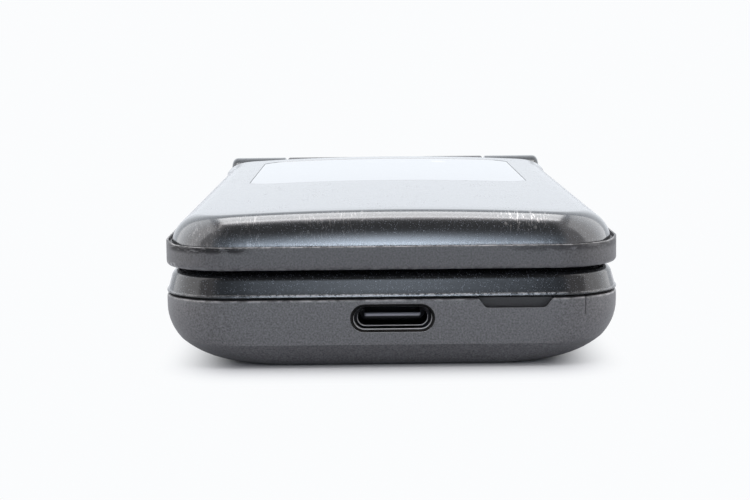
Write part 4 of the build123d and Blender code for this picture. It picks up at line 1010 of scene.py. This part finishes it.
# %% [markdown]
# The lid cover is the glossy shell that faces the camera, and its shape takes the most skill. It is
# crowned across its width on a large radius. From a foot that leans in a little, its crest rolls
# over, by 3.1 mm at the front and 3.6 mm at the sides, and round both front corners. A Bevel would roll
# it by one radius, and here the radius changes along the edge. In its top sits the outer window, on a
# ledge. The skin is a ring of rings: over the crest, in to the window, down to the ledge and back
# inside.

# %% Lid cover
CROWN_RADIUS = 400.0
CREST_FRONT, CREST_SIDE, CREST_REAR = 3.1, 3.6, 0.7
CREST_START = 0.10
CREST_LEAN = math.radians(9.0)
CREST_FADE = 9.0
LID_WALL, LID_THICK = 1.4, 2.8
WINDOW_CORNER, WINDOW_THICK, WINDOW_LEDGE = 4.0, 0.8, 2.0
window_middle, window_size = plan_box("outer_window")


def crown_height(points, top):
    """The height of the crown over points: a circle across the width, which is top - (radius - the
    square root of (radius squared - x squared))."""
    return top - (CROWN_RADIUS - np.sqrt(CROWN_RADIUS ** 2 - points[:, 0] ** 2))


def crest_ring(angle):
    """A ring on the crest, by the angle round its quarter ellipse: 0 is its foot, which leans a little,
    and 90 degrees its end on the crown. It starts just above the ledge and shrinks towards the hinge.
    The inset goes as the cosine of the lean less that of the angle, and the rise as their sines."""
    angle = CREST_LEAN + angle * (1 - CREST_LEAN / (math.pi / 2))
    inward = math.cos(CREST_LEAN) - math.cos(angle)
    rise = (math.sin(angle) - math.sin(CREST_LEAN)) / (1 - math.sin(CREST_LEAN))
    points = lid_outline(*(LEDGE + radius * inward for radius in (CREST_FRONT, CREST_SIDE, CREST_REAR)))
    top = crown_height(points, LID_TOP)
    near_rear = np.clip((points[:, 1] - (LID_END - CREST_FADE)) / CREST_FADE, 0, 1) ** 2
    full = top - LEDGE_Z - CREST_START
    local = full * (1 - near_rear) + CREST_REAR * near_rear
    return at_height(points, top - local * (1 - rise))


def window_ring(grow, top):
    """The window's outline, grown by a margin, under the crown of a top."""
    half_x, half_y = window_size / 2 + grow
    points = outline(half_x, window_middle[1] - half_y, window_middle[1] + half_y,
                     max(WINDOW_CORNER + grow, 0.3), None, 18, 18)
    return at_height(points, crown_height(points, top))


def crown_ring(outer, inner, share):
    """A ring on the crown, by the share of the way from an outer ring to an inner one."""
    points = outer[:, :2] * (1 - share) + inner[:, :2] * share
    return at_height(points, crown_height(points, LID_TOP))


lid_rows = [lid_ring(LEDGE, LEDGE_Z)] + [crest_ring(angle) for angle in np.linspace(0, math.pi / 2, 17)]
crest_end = lid_rows[-1]
window_edge = window_ring(0.12, LID_TOP)
lid_rows += [crown_ring(crest_end, window_edge, share) for share in np.linspace(0, 1, 12)[1:-1]]
window_floor = LID_TOP - WINDOW_THICK - 0.05
lid_rows += [window_edge, window_ring(0.05, LID_TOP - 0.07), window_ring(0.05, window_floor),
             window_ring(-WINDOW_LEDGE, window_floor), window_ring(-WINDOW_LEDGE, LID_TOP - 2 * WINDOW_THICK)]
inner_wall = lid_outline(*[LEDGE + LID_WALL] * 3)
lid_rows += [at_height(inner_wall, crown_height(inner_wall, LID_TOP) - LID_THICK),
             at_height(inner_wall, LEDGE_Z)]
# The foot of the crest is marked lighter, as wear and a painted highlight.
lid_mesh = skin("lid_cover", lid_rows, around_rows=True, wear_and_sheen=wear_from(lid_rows, 0, (0.8, 0.3)))
web_notch = box_points(-BARREL_END - 0.15, BARREL_END + 0.15, WEB_START - 0.2, LID_END + 1)
lid_mesh = carve(lid_mesh, [prism(web_notch, "z", LEDGE_Z - 0.5, WEB_TOP + 0.15)])
piece("shell_lid_cover", lid_mesh, "lid", [lid_gloss], "gloss_shell", "lid_cover")

# %% [markdown]
# The keys are moulded caps with rolled edges and a slight pillow on top, in a deck opening of the same
# shape. The number keys carry plain digits. The call keys carry a handset, the keys beside the ring
# plain signs. An image could carry them, but a mesh stays sharp close up. So each sign is a flat
# outline, turned into a thin mesh that lies on the cap.

# %% Keys
KEY_TOP, KEY_CORNER, KEY_ROLL, KEY_PILLOW = 11.75, 1.2, 0.3, 0.06
FLANGE_Z, FLANGE_THICK = 10.0, 0.4
SIGN_HEIGHT, SIGN_SINK = 0.02, 0.05
LETTER_SIZE, LETTER_THICK = 4.6, 0.03
FRAME_SIZE, FRAME_LINE = (3.2, 2.0), 0.25
LETTERS = {**{f"key_{digit}": str(digit) for digit in range(10)}, "key_star": "*", "key_hash": "#"}
ARROW = [(-1.6, 0), (-0.5, 0.9), (-0.5, 0.25), (1.6, 0.25), (1.6, -0.25), (-0.5, -0.25), (-0.5, -0.9)]
FLAP = [(-1.5, 0.9), (0, -0.15), (1.5, 0.9), (1.5, 0.62), (0, -0.45), (-1.5, 0.62)]
EARPIECE = np.array([(-0.55, -0.5), (0.55, -0.5), (0.45, 0.45), (-0.45, 0.45)])
legend_white = plain_finish("legend_white", (0.72, 0.74, 0.76), 0.4)
legend_green = plain_finish("legend_green", (0.05, 0.48, 0.12), 0.4)
legend_red = plain_finish("legend_red", (0.62, 0.04, 0.03), 0.4)


def cap_mesh(centre, size):
    """A rectangular key cap on its flange: rings up its wall, over the rolled edge and in to the top."""
    rim = KEY_TOP - KEY_PILLOW
    inner = min(size) / 2 - 0.6
    steps = [(KEY_FLANGE, FLANGE_Z), (KEY_FLANGE, FLANGE_Z + FLANGE_THICK), (0, FLANGE_Z + FLANGE_THICK)]
    steps += [(-inset, rim - drop) for inset, drop in roll(KEY_ROLL, 6)]
    steps += [(-(KEY_ROLL + (inner - KEY_ROLL) * s), rim + KEY_PILLOW * math.sin(s * math.pi / 2))
              for s in (0.25, 0.5, 0.75, 1)]
    rows = []
    for grow, height in steps:
        half_x, half_y = size / 2 + grow
        points = outline(half_x, -half_y, half_y, max(KEY_CORNER + grow, 0.3), None, 6, 4)
        rows.append(at_height(points + centre, height))
    return skin("cap", rows)


def flat_sign(points, centre, height=KEY_TOP):
    """A thin plate of a closed outline, lying on a cap."""
    return prism(np.asarray(points, float) + centre, "z", height - SIGN_SINK, height + SIGN_HEIGHT)


def letter_sign(text, centre):
    """One plain digit or sign as a thin mesh."""
    curve = bpy.data.curves.new("sign", "FONT")
    curve.body = text
    curve.size = LETTER_SIZE * MM
    curve.extrude = LETTER_THICK * MM
    curve.resolution_u = 4
    helper = add_object("sign", curve)
    flat = bpy.data.meshes.new_from_object(helper.evaluated_get(bpy.context.evaluated_depsgraph_get()))
    bpy.data.objects.remove(helper)
    points = np.empty(len(flat.vertices) * 3, np.float32)
    flat.vertices.foreach_get("co", points)
    points = points.reshape(-1, 3) / MM
    middle = (points.min(0) + points.max(0)) / 2
    points = points - middle + np.array((*centre, KEY_TOP - LETTER_THICK + SIGN_HEIGHT))
    faces = [list(face.vertices) for face in flat.polygons]
    bpy.data.meshes.remove(flat)
    return make_mesh("sign", points, faces)


def ring_band(inner, outer, start, end, steps=20):
    """Part of a flat ring, by its two radii and its two angles in degrees."""
    arc = arc_points(start, end, steps)
    return np.vstack((arc * outer, arc[::-1] * inner))


def handset(centre, flip):
    """A telephone handset: a bent grip with a block at each end."""
    grip = flat_sign(ring_band(1.9, 2.55, 35, 145) * (1, flip) + (0, -1.7 * flip), centre)
    return [grip] + [flat_sign(EARPIECE + (x, -0.35 * flip), centre) for x in (-1.55, 1.55)]


def frame_sign(centre):
    """The outline of a rectangle as four thin bars."""
    width, height = FRAME_SIZE
    bars = [((0, height / 2), (width, FRAME_LINE)), ((0, -height / 2), (width, FRAME_LINE)),
            ((-width / 2, 0), (FRAME_LINE, height)), ((width / 2, 0), (FRAME_LINE, height))]
    return [flat_sign(round_rectangle(*size, FRAME_LINE * 0.3, place), centre) for place, size in bars]


def key_signs(name, centre):
    """The meshes and the colour of a key's sign."""
    if name in LETTERS:
        return [letter_sign(LETTERS[name], centre)], legend_white
    if name == "call_key":
        return handset(centre, 1), legend_green
    if name == "end_key":
        return handset(centre, -1), legend_red
    if name == "clear_key":
        return [flat_sign(ARROW, centre)], legend_white
    if name == "message_key":
        return frame_sign(centre) + [flat_sign(FLAP, centre)], legend_white
    if name == "camera_key":
        return frame_sign(centre) + [flat_sign(ring_band(0.45, 0.7, 0, 359.9, 33), centre)], legend_white
    return [flat_sign(round_rectangle(2.6, 0.4, 0.19), centre)], legend_white


for name, (centre, size) in key_places.items():
    piece(f"cap_{name}", cap_mesh(centre, size), name, [key_matte], "key_plastic", name)
    signs, colour = key_signs(name, centre)
    piece(f"sign_{name}", join_meshes(f"sign_{name}", signs), name, [colour], "key_plastic")

# %% [markdown]
# The ring and the key in its middle are turned shapes: a profile from the flange up and over the top,
# carried round the vertical axis. A Screw modifier could turn it, but the helper for turned bodies is
# there already. The ring dips towards the middle, where the thumb finds the OK key.

# %% Ring and OK key
RING_ROLL, RING_BORE, BORE_ROLL = 0.35, 5.3, 0.3
RING_DIP = 0.22
RING_ARROW = np.array([(9.9, 0), (9.1, 0.75), (9.1, -0.75)])
OK_RADIUS, OK_TOP, OK_DIP = 4.8, KEY_TOP - 0.05, 0.12


def ring_arrow(quarter):
    """A small arrow on the ring, pointing outwards, turned by some quarters of a turn."""
    sine, cosine = math.sin(quarter * math.pi / 2), math.cos(quarter * math.pi / 2)
    return flat_sign(RING_ARROW @ np.array(((cosine, sine), (-sine, cosine))), ring_centre, KEY_TOP - 0.03)


flange_radius = RING_RADIUS + KEY_FLANGE
slope_start, slope_end = RING_RADIUS - RING_ROLL, RING_BORE + BORE_ROLL
ring_profile = [(RING_BORE, FLANGE_Z - 0.15), (flange_radius, FLANGE_Z - 0.15),
                (flange_radius, FLANGE_Z + 0.25), (RING_RADIUS, FLANGE_Z + 0.25)]
ring_profile += [(RING_RADIUS - inset, KEY_TOP - drop) for inset, drop in roll(RING_ROLL, 6)]
ring_profile += [(slope_start + s * (slope_end - slope_start), KEY_TOP - RING_DIP * s ** 1.5)
                 for s in (0.2, 0.4, 0.6, 0.8, 1.0)]
ring_profile += [(RING_BORE + drop, KEY_TOP - RING_DIP - inset) for inset, drop in roll(BORE_ROLL, 5)[1:]]
ring_mesh = turned(ring_profile, "z", ring_centre, closed=True)
piece("turned_nav_ring", ring_mesh, "nav_ring", [key_matte], "key_plastic", "nav_ring")
arrows = join_meshes("sign_nav_ring", [ring_arrow(quarter) for quarter in range(4)])
piece("sign_nav_ring", arrows, "nav_ring", [legend_white], "key_plastic")
ok_profile = [(OK_RADIUS, FLANGE_Z)]
ok_profile += [(OK_RADIUS - inset, OK_TOP - drop) for inset, drop in roll(RING_ROLL, 6)]
ok_profile += [((OK_RADIUS - RING_ROLL) * (1 - s), OK_TOP - OK_DIP * math.sin(s * math.pi / 2))
               for s in (0.25, 0.5, 0.75, 0.97)]
piece("turned_ok_key", turned(ok_profile, "z", ring_centre), "ok_key", [key_matte], "key_plastic", "ok_key")
dot = flat_sign(circle_points(24) * 0.7, ring_centre, KEY_TOP - 0.14)
piece("sign_ok_key", dot, "ok_key", [legend_white], "key_plastic")

# %% [markdown]
# The outer window is a dark tinted plate that follows the lid's crown, with rolled edges, so that it
# mirrors the same sky as the lid round it. Under it shows a display, the camera's lens and the flash.
# Clear glass would let the CAD's own pieces show, but behind so dark a tint they are only patches. So
# they are painted by place: soft boxes and rings in the material, one on another.

# %% Outer window
WINDOW_ROLL, WINDOW_SINK = 0.12, 0.02
PANEL_MARGIN = 1.0
LENS_PLACE, LENS_RADIUS, BEZEL = (0, 30.4), 1.3, (2.75, 3.2)
FLASH_PLACE, FLASH_RADIUS = (8.5, 30.4), 1.2


def from_spot(parts, spot):
    """The distance in the plan from a spot in millimetres, as the root of the sum of two squares."""
    offsets = [math_node("SUBTRACT", part, place * MM) for part, place in zip(parts, spot)]
    squares = [times(offset, offset) for offset in offsets]
    return math_node("SQRT", math_node("ADD", *squares))


def tinted_finish():
    """Dark glass with a smeared coat. Painted on it, in turn: the panel of the display, the lens with
    its bright bezel, the flash and a few specks of dust."""
    material, shader, point, parts = new_material("tinted_window")
    low, high = box_mm("outer_display")
    panel = times(*(inside(parts[axis], low[axis] + PANEL_MARGIN, high[axis] - PANEL_MARGIN)
                    for axis in (0, 1)))
    from_lens, from_flash = from_spot(parts, LENS_PLACE), from_spot(parts, FLASH_PLACE)
    bezel = inside(from_lens, *BEZEL, 0.03)
    specks = times(ramp(noise(point, 0.0003, 2.0, 0.7), 0.70, 0.76), 0.15)
    tone = (0.006, 0.007, 0.009)
    for share, colour in ((panel, (0.016, 0.018, 0.021)), (bezel, (0.16, 0.16, 0.17)),
                          (inside(from_lens, -1, LENS_RADIUS, 0.05), (0.012, 0.010, 0.035)),
                          (inside(from_flash, -1, FLASH_RADIUS, 0.05), (0.55, 0.50, 0.30)),
                          (specks, (0.2, 0.2, 0.2))):
        tone = blend_colours(share, tone, colour)
    smear = rescale(noise(point, 0.008, 3.0), 0.06, 0.02)
    set_inputs(shader, Base_Color=tone, Roughness=0.07, Metallic=times(bezel, 0.9),
               Coat_Weight=1.0, Coat_Roughness=smear)
    return material


window_rows = [window_ring(-0.05, LID_TOP - WINDOW_THICK), window_ring(0.0, LID_TOP - 0.7)]
window_rows += [window_ring(-inset, LID_TOP - WINDOW_SINK - drop) for inset, drop in roll(WINDOW_ROLL, 5)]
window_rows += [window_ring(-inset, LID_TOP - WINDOW_SINK)
                for inset in (0.6, 1.5, 3, 5, 7.5, 10, 12.5, 15, 17, 18.5, 19.3)]
window_mesh = skin("outer_window", window_rows)
piece("plate_outer_window", window_mesh, "lid", [tinted_finish()], "dark_window", "outer_window")

# %% [markdown]
# Each side key is a small rounded bar that stands half a millimetre out of the side. A cube with a
# Bevel could be the bar, but not the bar and the flange behind it in one. So its section is carried
# outwards from the flange and drawn in over the last third of a millimetre.

# %% Side keys
WALL_INSIDE, FLANGE_DEPTH = 26.05, 0.55
BAR_ROLL, BAR_CORNER = 0.35, 0.5


def side_bar(side, node):
    """A rounded bar in its notch, with the flange behind it."""
    low, high = box_mm(node)
    face_x = high[0] if side > 0 else -low[0]
    length, height = high[1:] - low[1:] - (2 * SIDE_FLANGE, 0)
    stations = [(WALL_INSIDE - FLANGE_DEPTH, SIDE_FLANGE, 0), (WALL_INSIDE, SIDE_FLANGE, 0),
                (WALL_INSIDE, 0, 0)]
    stations += [(face_x - drop, 0, inset) for inset, drop in roll(BAR_ROLL, 6)]
    rows = []
    for x, flange, shrink in stations:
        points = round_rectangle(length + 2 * flange - 2 * shrink, height - 2 * shrink,
                                 max(BAR_CORNER - shrink, 0.1), (low[1:] + high[1:]) / 2)
        rows.append(across(points, "x", side * x))
    return outward(skin("bar", rows))


for side, node in SIDE_KEYS:
    piece(f"bar_{node}", side_bar(side, node), node, [key_matte], "key_plastic", node)

# %% [markdown]
# Every other piece of the model keeps its CAD mesh, which is fine enough for the little that shows of
# it. It gets the finish of its slot, and three pieces get one of their own: the window over the main
# display, the port's metal shell, which is painted near black as painted shade inside the port, and
# the port's tongue, whose upper front edge carries a painted highlight.

# %% Finishes of the other pieces
SCREEN_MARGIN, SCREEN_SOFT = 0.0015, 0.0001
# Where the painted highlight on the tongue starts and where it is whole, in millimetres behind the tongue's
# front.
TONGUE_PAINTED_HIGHLIGHT = (0.3, 0.1)


def screen_window():
    """The window over the main display: black paint round a screen that is a little lighter and bluish."""
    material, shader, point, parts = new_material("screen_window")
    low, high = (side * MM for side in box_mm("main_display"))
    share = 1.0
    for axis in (0, 1):
        off_middle = math_node("SUBTRACT", parts[axis], (low[axis] + high[axis]) / 2)
        reach = (high[axis] - low[axis]) / 2 - SCREEN_MARGIN
        share = times(share, ramp(math_node("ABSOLUTE", off_middle), reach, reach - SCREEN_SOFT))
    screen = blend_colours(noise(point, 0.01), (0.016, 0.020, 0.026), (0.020, 0.024, 0.031))
    set_inputs(shader, Base_Color=blend_colours(share, (0.005, 0.005, 0.006), screen),
               Roughness=rescale(noise(point, 0.008, 3.0), 0.10, 0.02),
               Normal=bumps(noise(point, 0.0008), 0.02))
    return material


def tongue_finish():
    """The port's tongue: near-black plastic with a painted highlight, a lighter and glossier band along its
    upper front edge.
    """
    material, shader, point, parts = new_material("port_tongue")
    low, high = box_mm("usb_tongue")
    # Painted highlight: the upper front edge of the tongue is painted lighter and glossier.
    front = ramp(parts[1], *((low[1] + depth) * MM for depth in TONGUE_PAINTED_HIGHLIGHT))
    edge = times(inside(parts[2], (low[2] + high[2]) / 2, high[2] - 0.04, 0.05), front)
    grain = rescale(noise(point, 0.0003, 3.0), 0.4, 0.8)
    tone = blend_colours(edge, (0.010, 0.010, 0.011), (0.25, 0.25, 0.29))
    set_inputs(shader, Base_Color=vector_node("SCALE", tone, Scale=grain), Roughness=0.35,
               Coat_Weight=times(edge, 0.5), Specular_IOR_Level=rescale(edge, 0.4, 0.1))
    return material


FINISHES = {
    "inner_shell": inner_matte,
    "satin_shell": satin_grey,
    "gloss_shell": base_gloss,
    "key_plastic": key_matte,
    "steel": plain_finish("bright_steel", (0.55, 0.55, 0.56), 0.28, 1.0),
    "hinge_steel": plain_finish("ground_steel", (0.50, 0.50, 0.52), 0.32, 1.0, grain=0.0002),
    "board": plain_finish("green_board", (0.012, 0.07, 0.035), 0.35),
    "film": plain_finish("dome_film", (0.42, 0.38, 0.30), 0.25, Coat_Weight=0.5),
    "ribbon": plain_finish("amber_ribbon", (0.42, 0.16, 0.03), 0.35, Coat_Weight=0.4),
    "battery_can": plain_finish("battery_skin", (0.05, 0.055, 0.07), 0.4),
    "black_plastic": plain_finish("black_plastic", (0.012, 0.012, 0.013), 0.45),
    "rubber_pad": plain_finish("rubber_pad", (0.014, 0.014, 0.015), 0.75),
    "screen": plain_finish("dark_screen", (0.010, 0.011, 0.014), 0.12, Coat_Weight=1.0),
    "dark_window": plain_finish("dark_window", (0.006, 0.007, 0.009), 0.08, bump=0.02, Coat_Weight=1.0),
    "clear_window": plain_finish("clear_window", (0.008, 0.009, 0.011), 0.06, bump=0.02, Coat_Weight=1.0),
    "lens_glass": plain_finish("lens_glass", (0.012, 0.010, 0.022), 0.08, Coat_Weight=1.0),
    "lamp": plain_finish("lamp_cover", (0.85, 0.80, 0.55), 0.2, Coat_Weight=1.0),
}
OWN_FINISHES = {
    "display_window": screen_window(),
    # The port's metal shell is painted near black, as painted shade inside the port.
    "usb_shell": plain_finish("port_shell_painted_shade", (0.014, 0.014, 0.015), 0.45, 1.0),
    "usb_tongue": tongue_finish(),
}
for entry in frame["record"]["subparts"]:
    mesh = nodes[entry["node"]].data
    mesh.materials.clear()
    mesh.materials.append(OWN_FINISHES.get(entry["node"], FINISHES[entry["material_slot"]]))
